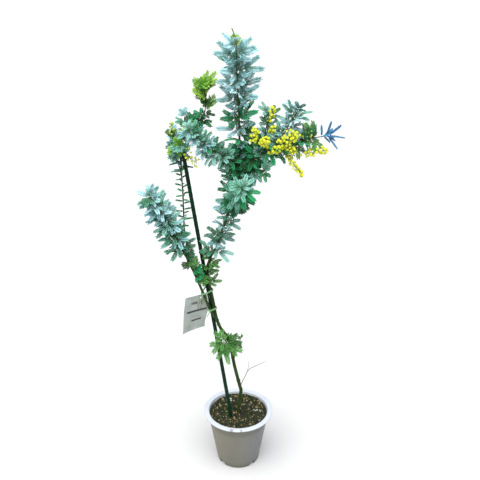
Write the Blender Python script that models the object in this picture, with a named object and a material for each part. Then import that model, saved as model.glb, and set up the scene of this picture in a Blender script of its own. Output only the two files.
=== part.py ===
"""A potted mimosa sapling: nursery pot, mix, coated cane, tied stems, leafy shoots and flower racemes.

Metres, +Z up. The origin is the middle of the pot's underside, and -Y is the side that is looked at.
"""

import math

import bmesh
import bpy
from mathutils import Matrix, Vector
from mathutils.bvhtree import BVHTree

# Gap that two touching pieces keep
GAP = 0.0003

# Nursery pot, 15 cm class
POT_HEIGHT = 0.1325
POT_FOOT_RADIUS = 0.0475
POT_COLLAR_RADIUS = 0.0649
POT_COLLAR_Z = 0.1065
POT_NECK_RADIUS = 0.0672
POT_RIM_RADIUS = 0.0775
POT_RIM_THICKNESS = 0.004
POT_WALL = 0.0016
POT_FLOOR = 0.0020
POT_SIDES = 60
DRAIN_HOLE_RADIUS = 0.0045
DRAIN_RING_RADIUS = 0.026
DRAIN_HOLES = 5
DRAIN_FIRST_ANGLE = math.radians(11)
NOTCH_COUNT = 4
NOTCH_FIRST_ANGLE = math.radians(41)
NOTCH_WIDTH, NOTCH_HEIGHT, NOTCH_DEPTH = 0.015, 0.009, 0.008

# Potting mix
SOIL_TOP = 0.1255
SOIL_SIDES = 48
SOIL_CLEARANCE = 0.0006
SOIL_RIPPLE = 0.0012

# Coated steel cane, 75 cm, and its end caps
CANE_FOOT = Vector((0.000, -0.026, 0.020))
CANE_TOP = Vector((-0.110, 0.021, 0.762))
CANE_RADIUS = 0.0040
CANE_BORE = 0.0030
CANE_SIDES = 12
CAP_RADIUS = 0.0046
CAP_LENGTH = 0.012
POINT_LENGTH = 0.014

# Hanging label
LABEL_THICKNESS = 0.0006
LABEL_TOP_LEFT = Vector((-0.110, -0.0195, 0.439))
LABEL_TOP_RIGHT = Vector((-0.0665, -0.0148, 0.449))
LABEL_BOTTOM_LEFT = Vector((-0.118, -0.0255, 0.353))
LABEL_BOTTOM_RIGHT = Vector((-0.0715, -0.0150, 0.367))
LABEL_COLUMNS, LABEL_ROWS = 4, 6
LABEL_BULGE = 0.006
LABEL_CURL = 0.003
LABEL_HOLE = Vector((-0.0780, -0.0160, 0.4395))
LABEL_HOLE_RADIUS = 0.0022
LABEL_WIRE_CENTRE = Vector((-0.0690, -0.0150, 0.4395))
LABEL_WIRE_RING = 0.0090
LABEL_WIRE_RADIUS = 0.0005

# Wire ties round the cane and the stems beside it
TIE_RADIUS = 0.0008
TIE_HEIGHTS = {"upper_tie": 0.4525, "lower_tie": 0.4105}
TIE_STEMS = ("trunk", "left_branch")
TIE_SLACK = 0.0006
TIE_TAIL = 0.014
TIE_TAIL_ENDS = (Vector((-0.45, -0.40, -0.80)), Vector((-0.10, -0.90, 0.25)))

# Leaf of a mature shoot: a short stalk with two pairs of feathers
LEAF_STALK = 0.016
LEAF_FEATHER = 0.028
LEAF_THICKNESS = 0.0009
LEAF_BASE_HALF_WIDTH = 0.0007
LOW_FEATHER_SHARE = 0.72
LOW_FEATHER_ANGLE = math.radians(68)
TOP_FEATHER_ANGLE = math.radians(27)
LEAF_TURN = math.radians(137.5)
LEAF_MARGIN = 0.0008

# Flower heads
HEAD_RADIUS = 0.0036
HEAD_REACH = 0.0032
RACEME_STALK_RADIUS = 0.0007

# Spacing of the points along a smooth stem, the sides of its tube, and the gap between two set end to end
STEM_STEP = 0.012
STEM_SIDES = 6
END_GAP = 0.0009


def clear_scene():
    for old in list(bpy.data.objects):
        bpy.data.objects.remove(old)


# Materials

def make_material(name, colour, roughness):
    material = bpy.data.materials.new(name)
    material.use_nodes = True
    shader = material.node_tree.nodes["Principled BSDF"]
    shader.inputs["Base Color"].default_value = (*colour, 1.0)
    shader.inputs["Roughness"].default_value = roughness
    shader.inputs["Metallic"].default_value = 0.0
    return material


def make_materials():
    return {
        "pot": make_material("white_plastic", (0.80, 0.82, 0.82), 0.40),
        "soil": make_material("potting_mix", (0.045, 0.034, 0.022), 0.95),
        "cane": make_material("green_coating", (0.005, 0.045, 0.018), 0.35),
        "label": make_material("label_plastic", (0.62, 0.66, 0.64), 0.45),
        "tie": make_material("tie_plastic", (0.16, 0.34, 0.14), 0.50),
        "bark": make_material("young_bark", (0.055, 0.110, 0.030), 0.60),
        "dead": make_material("dead_wood", (0.26, 0.23, 0.15), 0.80),
        "silver": make_material("silver_leaf", (0.30, 0.52, 0.50), 0.60),
        "green": make_material("green_leaf", (0.07, 0.20, 0.06), 0.55),
        "lime": make_material("young_leaf", (0.28, 0.50, 0.06), 0.50),
        "flower": make_material("flower_yellow", (0.80, 0.72, 0.02), 0.80),
    }


# Meshes and joins

def make_object(name, mesh_data, material):
    mesh = bpy.data.meshes.new(name)
    mesh_data.to_mesh(mesh)
    mesh_data.free()
    mesh.materials.append(material)
    made = bpy.data.objects.new(name, mesh)
    bpy.context.scene.collection.objects.link(made)
    return made


def shade_round(made, angle=math.radians(40)):
    made.data.shade_smooth()
    made.data.set_sharp_from_angle(angle=angle)


def as_helper(made):
    made.hide_render = True
    made.display_type = "WIRE"
    return made


def join_with(made, helpers):
    """Unites helper solids with an object, as one body."""
    group = bpy.data.collections.new(made.name + "_parts")
    for helper in helpers:
        group.objects.link(as_helper(helper))
    modifier = made.modifiers.new("join", "BOOLEAN")
    modifier.operation = "UNION"
    modifier.operand_type = "COLLECTION"
    modifier.collection = group
    modifier.solver = "EXACT"


def cut_from(made, helper, name):
    modifier = made.modifiers.new(name, "BOOLEAN")
    modifier.operation = "DIFFERENCE"
    modifier.object = as_helper(helper)
    modifier.solver = "EXACT"


def spin_profile(name, profile, sides, material):
    """Turns an open profile, which starts and ends on the Z axis, into a closed round solid."""
    shape = bmesh.new()
    rings = []
    for radius, height in profile:
        if radius == 0.0:
            rings.append([shape.verts.new((0.0, 0.0, height))])
            continue
        turn = [math.tau * side / sides for side in range(sides)]
        rings.append(
            [shape.verts.new((radius * math.cos(a), radius * math.sin(a), height)) for a in turn]
        )
    for low, high in zip(rings, rings[1:]):
        for side in range(sides):
            after = (side + 1) % sides
            under = [low[side % len(low)], low[after % len(low)]]
            over = [high[after % len(high)], high[side % len(high)]]
            shape.faces.new(list(dict.fromkeys(under + over)))
    bmesh.ops.recalc_face_normals(shape, faces=shape.faces)
    return make_object(name, shape, material)


# Smooth stems

def smooth_line(points, step=STEM_STEP):
    """Points at an even step along a Catmull-Rom curve through the given ones."""
    ends = [2 * points[0] - points[1], *points, 2 * points[-1] - points[-2]]
    fine = []
    for a, b, c, d in zip(ends, ends[1:], ends[2:], ends[3:]):
        for part in range(16):
            t = part / 16
            bend = (2 * a - 5 * b + 4 * c - d) * t**2
            twist = (3 * b - a - 3 * c + d) * t**3
            fine.append(0.5 * (2 * b + (c - a) * t + bend + twist))
    fine.append(points[-1])
    lengths = [0.0]
    for a, b in zip(fine, fine[1:]):
        lengths.append(lengths[-1] + (b - a).length)
    count = max(2, round(lengths[-1] / step))
    line, at = [], 0
    for number in range(count + 1):
        wanted = lengths[-1] * number / count
        while at < len(fine) - 2 and lengths[at + 1] < wanted:
            at += 1
        share = (wanted - lengths[at]) / (lengths[at + 1] - lengths[at])
        line.append(fine[at].lerp(fine[at + 1], min(1.0, share)))
    return line


def point_on(line, share):
    """The point and the direction at a share of a line's length."""
    place = min(max(share, 0.0), 1.0) * (len(line) - 1)
    index = min(int(place), len(line) - 2)
    direction = (line[index + 1] - line[index]).normalized()
    return line[index].lerp(line[index + 1], place - index), direction


def line_frames(line, closed=False):
    """A sideways direction for each point, carried along the line without twisting."""
    frames = []
    side = None
    for index, point in enumerate(line):
        before = line[index - 1] if index or closed else point
        after = line[(index + 1) % len(line)] if index < len(line) - 1 or closed else point
        along = (after - before).normalized()
        if side is None:
            side = along.orthogonal().normalized()
        side = (side - along * side.dot(along)).normalized()
        frames.append((side, along.cross(side)))
    return frames


def ring_of(shape, centre, radius, side, up, sides):
    turn = [math.tau * number / sides for number in range(sides)]
    return [shape.verts.new(centre + radius * (math.cos(a) * side + math.sin(a) * up)) for a in turn]


def bridge(shape, low, high):
    for number in range(len(low)):
        after = (number + 1) % len(low)
        shape.faces.new((low[number], low[after], high[after], high[number]))


def tube(line, radii, sides=STEM_SIDES, closed=False):
    """A closed tube of the given radius at each point of a line, with flat ends or as a ring."""
    shape = bmesh.new()
    rings = []
    for point, radius, (side, up) in zip(line, radii, line_frames(line, closed)):
        rings.append(ring_of(shape, point, radius, side, up, sides))
    for low, high in zip(rings, rings[1:]):
        bridge(shape, low, high)
    if closed:
        bridge(shape, rings[-1], rings[0])
    else:
        shape.faces.new(rings[0][::-1])
        shape.faces.new(rings[-1])
    return shape


def taper(line, first, last):
    return [first + (last - first) * number / (len(line) - 1) for number in range(len(line))]


# Pot, potting mix, cane and label

def pot_inner_radius(height):
    """Inside radius of the wall at a height, between the floor and the neck."""
    share = (height - POT_FLOOR) / (POT_HEIGHT - POT_RIM_THICKNESS - POT_FLOOR)
    low = POT_FOOT_RADIUS - POT_WALL
    return low + (POT_NECK_RADIUS - POT_WALL - low) * share


def make_pot(material):
    rim_under = POT_HEIGHT - POT_RIM_THICKNESS
    neck = POT_NECK_RADIUS
    profile = [
        (0.0, 0.0),
        (POT_FOOT_RADIUS - 0.0022, 0.0),
        (POT_FOOT_RADIUS - 0.0006, 0.0007),
        (POT_FOOT_RADIUS, 0.0022),
        (POT_COLLAR_RADIUS, POT_COLLAR_Z),
        (POT_COLLAR_RADIUS + 0.0009, POT_COLLAR_Z + 0.0010),
        (neck, rim_under),
        (POT_RIM_RADIUS - 0.0014, rim_under + 0.0002),
        (POT_RIM_RADIUS, rim_under + 0.0014),
        (POT_RIM_RADIUS - 0.0004, POT_HEIGHT - 0.0010),
        (POT_RIM_RADIUS - 0.0018, POT_HEIGHT),
        (neck + 0.0012, POT_HEIGHT),
        (neck - 0.0008, POT_HEIGHT - 0.0012),
        (pot_inner_radius(rim_under), rim_under),
        (pot_inner_radius(POT_FLOOR), POT_FLOOR),
        (0.0, POT_FLOOR),
    ]
    pot = spin_profile("pot", profile, POT_SIDES, material)
    for number in range(DRAIN_HOLES):
        angle = DRAIN_FIRST_ANGLE + math.tau * number / DRAIN_HOLES
        x, y = DRAIN_RING_RADIUS * math.cos(angle), DRAIN_RING_RADIUS * math.sin(angle)
        line = [Vector((x, y, -0.004)), Vector((x, y, 0.008))]
        drill = make_object(f"drain_drill_{number}", tube(line, [DRAIN_HOLE_RADIUS] * 2, 16), material)
        cut_from(pot, drill, "drain_hole")
    for number in range(NOTCH_COUNT):
        angle = NOTCH_FIRST_ANGLE + math.tau * number / NOTCH_COUNT
        block = bmesh.new()
        bmesh.ops.create_cube(block, size=1.0)
        size = Matrix.Diagonal((2 * NOTCH_DEPTH, NOTCH_WIDTH, 2 * NOTCH_HEIGHT, 1.0))
        place = Matrix.Rotation(angle, 4, "Z") @ Matrix.Translation((POT_FOOT_RADIUS + 0.0010, 0.0, 0.0))
        block.transform(place @ size)
        cut_from(pot, make_object(f"notch_block_{number}", block, material), "drain_notch")
    shade_round(pot)
    return pot


def soil_height(x, y):
    """Height of the uneven top of the potting mix."""
    ripple = math.sin(x * 160 + 1.3) * math.cos(y * 140 - 0.4) + 0.6 * math.sin(x * 310 - y * 270)
    return SOIL_TOP + SOIL_RIPPLE * ripple


def make_soil(material):
    """The mix fills the pot from its floor up, stepped in at the foot to clear the drain notches."""
    bottom = POT_FLOOR + SOIL_CLEARANCE
    step = NOTCH_HEIGHT + 0.0010
    foot = POT_FOOT_RADIUS - NOTCH_DEPTH
    edge = pot_inner_radius(SOIL_TOP) - SOIL_CLEARANCE
    profile = [(0.0, bottom), (foot, bottom), (foot, step)]
    profile += [(pot_inner_radius(step) - SOIL_CLEARANCE, step), (edge, SOIL_TOP)]
    profile += [(edge * share, SOIL_TOP) for share in (0.85, 0.6, 0.32)]
    profile += [(0.0, SOIL_TOP)]
    soil = spin_profile("potting_mix", profile, SOIL_SIDES, material)
    for vertex in soil.data.vertices:
        inside = math.hypot(vertex.co.x, vertex.co.y) < 0.95 * edge
        if vertex.co.z > SOIL_TOP - GAP and inside:
            vertex.co.z = soil_height(vertex.co.x, vertex.co.y)
    return soil


def make_cane(materials):
    """A coated steel tube with a cap on its top end and a point on its foot."""
    along = (CANE_TOP - CANE_FOOT).normalized()
    shape = bmesh.new()
    side = along.orthogonal().normalized()
    up = along.cross(side)
    outer = [ring_of(shape, end, CANE_RADIUS, side, up, CANE_SIDES) for end in (CANE_FOOT, CANE_TOP)]
    inner = [ring_of(shape, end, CANE_BORE, side, up, CANE_SIDES) for end in (CANE_TOP, CANE_FOOT)]
    rings = outer + inner
    for low, high in zip(rings, rings[1:] + rings[:1]):
        bridge(shape, low, high)
    bmesh.ops.recalc_face_normals(shape, faces=shape.faces)
    cane = make_object("cane", shape, materials["cane"])
    shade_round(cane)

    plug = CANE_BORE - GAP
    cap_line = [
        (CANE_TOP - along * 0.008, plug),
        (CANE_TOP + along * GAP, plug),
        (CANE_TOP + along * GAP, CAP_RADIUS),
        (CANE_TOP + along * (CAP_LENGTH - 0.002), CAP_RADIUS),
        (CANE_TOP + along * CAP_LENGTH, CAP_RADIUS - 0.0015),
    ]
    point_line = [
        (CANE_FOOT + along * 0.008, plug),
        (CANE_FOOT - along * GAP, plug),
        (CANE_FOOT - along * GAP, CANE_RADIUS),
        (CANE_FOOT - along * (POINT_LENGTH - 0.002), 0.0012),
        (CANE_FOOT - along * POINT_LENGTH, 0.0005),
    ]
    for name, outline in (("cane_cap", cap_line), ("cane_point", point_line)):
        shape = bmesh.new()
        rings = [ring_of(shape, centre, radius, side, up, CANE_SIDES) for centre, radius in outline]
        for low, high in zip(rings, rings[1:]):
            bridge(shape, low, high)
        shape.faces.new(rings[0])
        shape.faces.new(rings[-1])
        bmesh.ops.recalc_face_normals(shape, faces=shape.faces)
        shade_round(make_object(name, shape, materials["cane"]))


def make_label(materials):
    """A thin bent sheet with a punched hole, and the wire ring that hangs it round the left branch."""
    shape = bmesh.new()
    grid = []
    for row in range(LABEL_ROWS + 1):
        down = row / LABEL_ROWS
        left = LABEL_TOP_LEFT.lerp(LABEL_BOTTOM_LEFT, down)
        right = LABEL_TOP_RIGHT.lerp(LABEL_BOTTOM_RIGHT, down)
        line = []
        for column in range(LABEL_COLUMNS + 1):
            across = column / LABEL_COLUMNS
            point = left.lerp(right, across)
            point.x += LABEL_BULGE * math.sin(math.pi * min(1.0, 1.2 * down)) * (across - 0.2)
            point.y += LABEL_CURL * down * math.sin(math.pi * across)
            line.append(shape.verts.new(point))
        grid.append(line)
    for above, below in zip(grid, grid[1:]):
        for column in range(LABEL_COLUMNS):
            shape.faces.new((above[column], below[column], below[column + 1], above[column + 1]))
    bmesh.ops.recalc_face_normals(shape, faces=shape.faces)
    label = make_object("label", shape, materials["label"])
    skin = label.modifiers.new("thickness", "SOLIDIFY")
    skin.thickness = LABEL_THICKNESS
    skin.offset = 0.0
    punch_line = [LABEL_HOLE + Vector((0, reach, 0)) for reach in (-0.01, 0.01)]
    punch = make_object("label_punch", tube(punch_line, [LABEL_HOLE_RADIUS] * 2, 10), materials["label"])
    cut_from(label, punch, "punched_hole")

    ring = []
    for number in range(18):
        angle = math.tau * number / 18
        ring.append(LABEL_WIRE_CENTRE + LABEL_WIRE_RING * Vector((math.cos(angle), math.sin(angle), 0.0)))
    wire = tube(ring, [LABEL_WIRE_RADIUS] * len(ring), 5, closed=True)
    shade_round(make_object("label_wire", wire, materials["tie"]))


def tie_ring(circles, height):
    """The taut loop round some circles: the convex outline of them all, at one height."""
    points = []
    for centre, radius in circles:
        for number in range(24):
            angle = math.tau * number / 24
            reach = radius + TIE_RADIUS + TIE_SLACK
            points.append((centre.x + reach * math.cos(angle), centre.y + reach * math.sin(angle)))
    points.sort()

    def half(ordered):
        chain = []
        for x, y in ordered:
            while len(chain) > 1:
                (x1, y1), (x2, y2) = chain[-2:]
                if (x2 - x1) * (y - y1) - (y2 - y1) * (x - x1) > 0:
                    break
                chain.pop()
            chain.append((x, y))
        return chain[:-1]

    hull = [Vector((x, y, height)) for x, y in half(points) + half(points[::-1])]
    return smooth_line([*hull, hull[0]], 0.0040)[:-1]


def make_ties(stems, material):
    for name, height in TIE_HEIGHTS.items():
        share = (height - CANE_FOOT.z) / (CANE_TOP.z - CANE_FOOT.z)
        circles = [(CANE_FOOT.lerp(CANE_TOP, share), CANE_RADIUS * 1.02)]
        for stem in TIE_STEMS:
            line, radii = stems[stem]["line"], stems[stem]["radii"]
            nearest = min(range(len(line)), key=lambda number: abs(line[number].z - height))
            low = nearest if line[nearest].z <= height else nearest - 1
            rise = (height - line[low].z) / (line[low + 1].z - line[low].z)
            circles.append((line[low].lerp(line[low + 1], rise), radii[low] * 1.12))
        ring = tie_ring(circles, height)
        loop = make_object(name, tube(ring, [TIE_RADIUS] * len(ring), 5, closed=True), material)
        front = min(ring, key=lambda point: point.y)
        tails = []
        for number, lean in enumerate(TIE_TAIL_ENDS):
            end = front + TIE_TAIL * lean
            middle = front.lerp(end, 0.5) + Vector((0, -0.001, 0))
            tail = tube([front, middle, end], [TIE_RADIUS * 0.9] * 3, 5)
            tails.append(make_object(f"{name}_tail_{number}", tail, material))
        join_with(loop, tails)
        shade_round(loop)


# Growing stems and leaves

def leaf_outline(size):
    """Outline of a flat leaf, stalk first: two pairs of feathers that spread from a short stalk."""
    stalk = LEAF_STALK * size
    feather = LEAF_FEATHER * size
    low = LOW_FEATHER_SHARE * feather
    low_x = 0.3 * stalk + low * math.cos(LOW_FEATHER_ANGLE)
    low_y = low * math.sin(LOW_FEATHER_ANGLE)
    top_x = stalk + feather * math.cos(TOP_FEATHER_ANGLE)
    top_y = feather * math.sin(TOP_FEATHER_ANGLE)
    side = [
        (0.0, LEAF_BASE_HALF_WIDTH),
        (low_x, low_y),
        (0.85 * stalk, 0.16 * feather),
        (top_x, top_y),
    ]
    return [(x, -y) for x, y in side] + [(stalk + 0.42 * feather, 0.0)] + side[::-1]


def leaf_solid(place, size, thickness):
    shape = bmesh.new()
    half = thickness / 2
    outline = leaf_outline(size)
    top = [shape.verts.new(place @ Vector((x, y, half))) for x, y in outline]
    bottom = [shape.verts.new(place @ Vector((x, y, -half))) for x, y in outline]
    shape.faces.new(top)
    shape.faces.new(bottom[::-1])
    for number in range(len(outline)):
        after = (number + 1) % len(outline)
        shape.faces.new((bottom[number], bottom[after], top[after], top[number]))
    return shape


def leaf_place(point, along, angle, lift):
    """Frame of a leaf turned round its stem and lifted off it: X along its stalk, Z its upper face."""
    side = along.cross(Vector((0.0, 1.0, 0.0))).normalized()
    around = Matrix.Rotation(angle, 3, along) @ side
    out = (around * math.sin(lift) + along * math.cos(lift)).normalized()
    face = (along - out * along.dot(out)).normalized()
    across = face.cross(out)
    place = Matrix((out, across, face)).transposed().to_4x4()
    place.translation = point
    return place


class Obstacles:
    """The solids already in place, by owner, for keeping new ones clear of them."""

    def __init__(self):
        self.trees = []

    def add(self, owner, shape):
        bmesh.ops.triangulate(shape, faces=shape.faces)
        low = Vector(min(vertex.co[axis] for vertex in shape.verts) for axis in range(3))
        high = Vector(max(vertex.co[axis] for vertex in shape.verts) for axis in range(3))
        self.trees.append((owner, BVHTree.FromBMesh(shape), low, high))
        shape.free()

    def hit(self, owner, shape):
        bmesh.ops.triangulate(shape, faces=shape.faces)
        low = [min(vertex.co[axis] for vertex in shape.verts) for axis in range(3)]
        high = [max(vertex.co[axis] for vertex in shape.verts) for axis in range(3)]
        tree = BVHTree.FromBMesh(shape)
        shape.free()
        for other, solid, other_low, other_high in self.trees:
            if other == owner:
                continue
            if any(low[a] > other_high[a] or high[a] < other_low[a] for a in range(3)):
                continue
            if tree.overlap(solid):
                return True
        return False


# Ways to move a leaf that would touch a neighbour: extra turn, extra lift, share of its size
LEAF_TRIES = [
    (0, 0, 1.0),
    (18, 0, 1.0),
    (-18, 0, 1.0),
    (0, 14, 1.0),
    (0, -14, 1.0),
    (30, 8, 0.9),
    (-30, 8, 0.9),
    (0, 0, 0.8),
    (35, -10, 0.75),
    (-35, -10, 0.75),
    (0, 20, 0.6),
    (55, 0, 0.6),
    (-55, 0, 0.6),
    (0, 0, 0.45),
]

STEMS = {}


def grow(
    name, parent, at, points, radii,
    leaves=0, first=0.12, last=1.0, size=1.0, lift=58, turn=0, finish="silver",
):
    """Notes a stem: the share of its parent's length it leaves at, its further points and its leaves."""
    start = []
    if parent is not None:
        foot, along = point_on(STEMS[parent]["line"], at)
        start = [foot] if at < 1.0 else [foot + along * END_GAP, foot + along * 0.006]
    line = smooth_line(start + [Vector(point) for point in points])
    STEMS[name] = {
        "line": line,
        "radii": taper(line, *radii),
        "parent": parent,
        "side": parent is not None and at < 1.0,
        "leaves": leaves,
        "first": first,
        "last": last,
        "size": size,
        "lift": math.radians(lift),
        "turn": math.radians(turn),
        "finish": finish,
    }


def share_at_height(name, height):
    """Share of a stem's length at which it is nearest to a height."""
    line = STEMS[name]["line"]
    return min(range(len(line)), key=lambda number: abs(line[number].z - height)) / (len(line) - 1)


def plan_growth():
    """The skeleton, from the foot of the trunk to the shoot tips."""
    grow(
        "trunk", None, 0.0,
        [(-0.004, 0.004, 0.060), (-0.001, 0.002, 0.117), (0.006, 0.000, 0.181),
         (0.003, 0.000, 0.200), (-0.008, -0.004, 0.255), (-0.017, -0.008, 0.314),
         (-0.026, -0.010, 0.340), (-0.039, -0.012, 0.363), (-0.047, -0.0125, 0.391),
         (-0.0525, -0.0090, 0.425), (-0.0600, -0.0055, 0.465), (-0.0645, -0.0035, 0.500),
         (-0.0560, -0.0020, 0.530)],
        (0.0042, 0.0028), leaves=4, first=0.87, last=0.99, size=0.80, lift=66, turn=200,
        finish="bark",
    )
    grow(
        "upper_stem", "trunk", 1.0,
        [(-0.043, -0.002, 0.556), (-0.033, -0.002, 0.589), (-0.022, -0.002, 0.620),
         (-0.014, -0.002, 0.654)],
        (0.0028, 0.0024), leaves=7, first=0.05, last=0.92, size=0.92, lift=70, turn=15, finish="silver",
    )
    grow(
        "leader_base", "upper_stem", 1.0,
        [(-0.004, 0.002, 0.700), (0.002, 0.005, 0.735), (0.004, 0.006, 0.756)],
        (0.0024, 0.0022), leaves=6, first=0.10, last=0.95, size=0.95, lift=66, turn=100, finish="green",
    )
    grow(
        "leader_middle", "leader_base", 1.0,
        [(0.003, 0.008, 0.790), (0.002, 0.008, 0.825), (0.000, 0.008, 0.863)],
        (0.0022, 0.0018), leaves=6, first=0.12, last=0.95, size=0.92, lift=62, turn=60, finish="silver",
    )
    grow(
        "leader_tip", "leader_middle", 1.0,
        [(-0.001, 0.008, 0.890), (-0.002, 0.008, 0.930), (-0.003, 0.007, 0.970)],
        (0.0018, 0.0009), leaves=9, first=0.06, last=1.0, size=1.05, lift=52, turn=150, finish="silver",
    )
    grow(
        "left_branch", "trunk", share_at_height("trunk", 0.381),
        [(-0.0590, -0.0180, 0.411), (-0.073, -0.0205, 0.453), (-0.085, -0.022, 0.488),
         (-0.100, -0.026, 0.530), (-0.113, -0.032, 0.563)],
        (0.0029, 0.0022), leaves=5, first=0.55, last=0.92, size=0.72, lift=66, turn=210, finish="green",
    )
    grow(
        "left_shoot", "left_branch", 1.0,
        [(-0.121, -0.036, 0.583), (-0.132, -0.041, 0.612), (-0.144, -0.047, 0.638)],
        (0.0021, 0.0017), leaves=8, first=0.08, last=0.95, size=0.86, lift=60, turn=20, finish="silver",
    )
    grow(
        "left_tip", "left_shoot", 1.0,
        [(-0.153, -0.051, 0.657), (-0.162, -0.056, 0.676), (-0.171, -0.060, 0.692)],
        (0.0016, 0.0009), leaves=8, first=0.08, last=1.0, size=0.86, lift=54, turn=75, finish="silver",
    )
    grow(
        "rear_branch", "left_branch", 0.80,
        [(-0.104, -0.010, 0.556), (-0.110, 0.010, 0.590), (-0.111, 0.020, 0.630), (-0.112, 0.026, 0.670),
         (-0.115, 0.033, 0.733)],
        (0.0017, 0.0014), leaves=7, first=0.42, last=0.95, size=0.42, lift=74, turn=0, finish="green",
    )
    grow(
        "crown_front_shoot", "rear_branch", 1.0,
        [(-0.119, 0.020, 0.752), (-0.117, 0.004, 0.768), (-0.112, -0.010, 0.778)],
        (0.0014, 0.0008), leaves=7, first=0.15, last=1.0, size=0.58, lift=62, turn=120, finish="lime",
    )
    grow(
        "crown_left_shoot", "rear_branch", 0.84,
        [(-0.121, 0.031, 0.732), (-0.127, 0.026, 0.765), (-0.128, 0.022, 0.795)],
        (0.0013, 0.0008), leaves=6, first=0.25, last=1.0, size=0.58, lift=56, turn=40, finish="silver",
    )
    grow(
        "crown_rear_shoot", "rear_branch", 0.90,
        [(-0.111, 0.044, 0.765), (-0.107, 0.048, 0.792), (-0.105, 0.047, 0.816)],
        (0.0014, 0.0009), leaves=6, first=0.15, last=1.0, size=0.62, lift=58, turn=80, finish="silver",
    )
    grow(
        "lime_stem", "crown_rear_shoot", 0.55,
        [(-0.092, 0.041, 0.800), (-0.075, 0.035, 0.812), (-0.064, 0.032, 0.832)],
        (0.0013, 0.0011), leaves=5, first=0.35, last=0.95, size=0.66, lift=70, turn=150, finish="green",
    )
    grow(
        "lime_tip", "lime_stem", 1.0,
        [(-0.062, 0.032, 0.852), (-0.064, 0.031, 0.870), (-0.070, 0.030, 0.886)],
        (0.0011, 0.0007), leaves=7, first=0.10, last=1.0, size=0.62, lift=50, turn=30, finish="lime",
    )
    grow(
        "cross_branch", "leader_base", 0.72,
        [(-0.016, -0.008, 0.748), (-0.038, -0.016, 0.762), (-0.055, -0.022, 0.778)],
        (0.0018, 0.0015), leaves=7, first=0.22, last=0.95, size=0.84, lift=64, turn=60, finish="silver",
    )
    grow(
        "cross_tip", "cross_branch", 1.0,
        [(-0.066, -0.026, 0.790), (-0.079, -0.030, 0.804), (-0.093, -0.032, 0.818)],
        (0.0014, 0.0008), leaves=8, first=0.10, last=1.0, size=0.80, lift=58, turn=10, finish="silver",
    )
    grow(
        "front_shoot", "upper_stem", 0.93,
        [(-0.006, -0.020, 0.672), (0.002, -0.042, 0.694), (0.008, -0.062, 0.712)],
        (0.0018, 0.0009), leaves=10, first=0.26, last=1.0, size=0.92, lift=64, turn=35, finish="silver",
    )
    grow(
        "flower_branch", "leader_base", 0.55,
        [(0.016, -0.002, 0.737), (0.034, -0.009, 0.752), (0.058, -0.016, 0.770), (0.082, -0.021, 0.781)],
        (0.0019, 0.0016), leaves=7, first=0.20, last=0.92, size=0.84, lift=66, turn=90, finish="green",
    )
    grow(
        "flower_branch_outer", "flower_branch", 1.0,
        [(0.100, -0.023, 0.787), (0.120, -0.025, 0.792), (0.142, -0.026, 0.800)],
        (0.0015, 0.0012), leaves=5, first=0.15, last=0.95, size=0.72, lift=62, turn=120, finish="lime",
    )
    grow(
        "flower_branch_tip", "flower_branch_outer", 1.0,
        [(0.152, -0.026, 0.801), (0.161, -0.025, 0.802), (0.170, -0.024, 0.803)],
        (0.0012, 0.0007), leaves=6, first=0.10, last=1.0, size=0.66, lift=52, turn=60, finish="silver",
    )
    grow(
        "silver_side_shoot", "flower_branch", 0.88,
        [(0.088, -0.010, 0.802), (0.102, 0.000, 0.822), (0.114, 0.006, 0.842)],
        (0.0014, 0.0008), leaves=9, first=0.14, last=1.0, size=0.80, lift=56, turn=25, finish="silver",
    )
    grow(
        "pale_side_shoot", "flower_branch", 0.50,
        [(0.050, -0.004, 0.790), (0.055, 0.000, 0.815), (0.059, 0.002, 0.838)],
        (0.0013, 0.0008), leaves=6, first=0.20, last=1.0, size=0.70, lift=52, turn=65, finish="lime",
    )
    grow(
        "hanging_shoot", "leader_base", 0.35,
        [(0.016, -0.012, 0.722), (0.034, -0.022, 0.730), (0.050, -0.030, 0.734)],
        (0.0014, 0.0009), leaves=6, first=0.20, last=1.0, size=0.74, lift=60, turn=140, finish="green",
    )
    grow(
        "rear_shoot", "leader_base", 0.25,
        [(0.006, 0.024, 0.712), (0.022, 0.044, 0.738), (0.034, 0.058, 0.770)],
        (0.0017, 0.0009), leaves=9, first=0.20, last=1.0, size=0.90, lift=60, turn=0, finish="green",
    )
    grow(
        "low_shoot_front", "trunk", share_at_height("trunk", 0.318),
        [(-0.026, -0.022, 0.328), (-0.032, -0.034, 0.340)],
        (0.0013, 0.0008), leaves=6, first=0.35, last=1.0, size=0.80, lift=66, turn=10, finish="lime",
    )
    grow(
        "low_shoot_rear", "trunk", share_at_height("trunk", 0.290),
        [(-0.002, 0.004, 0.302), (0.006, 0.012, 0.318)],
        (0.0013, 0.0008), leaves=6, first=0.35, last=1.0, size=0.80, lift=66, turn=70, finish="green",
    )
    grow(
        "dead_twig", "trunk", share_at_height("trunk", 0.197),
        [(0.014, -0.001, 0.222), (0.024, -0.002, 0.244), (0.040, -0.004, 0.256), (0.060, -0.006, 0.269)],
        (0.0010, 0.0005), finish="dead",
    )


def fence_off(obstacles):
    """Marks the space of the cane, the label and the bare stems, before any leaf or flower is placed."""
    obstacles.add("cane", tube([CANE_FOOT, CANE_TOP + Vector((0, 0, 0.014))], [CAP_RADIUS + GAP] * 2, 8))
    obstacles.add("label", label_fence())
    for name, stem in STEMS.items():
        obstacles.add(name, tube(stem["line"], [radius + GAP for radius in stem["radii"]]))


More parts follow.
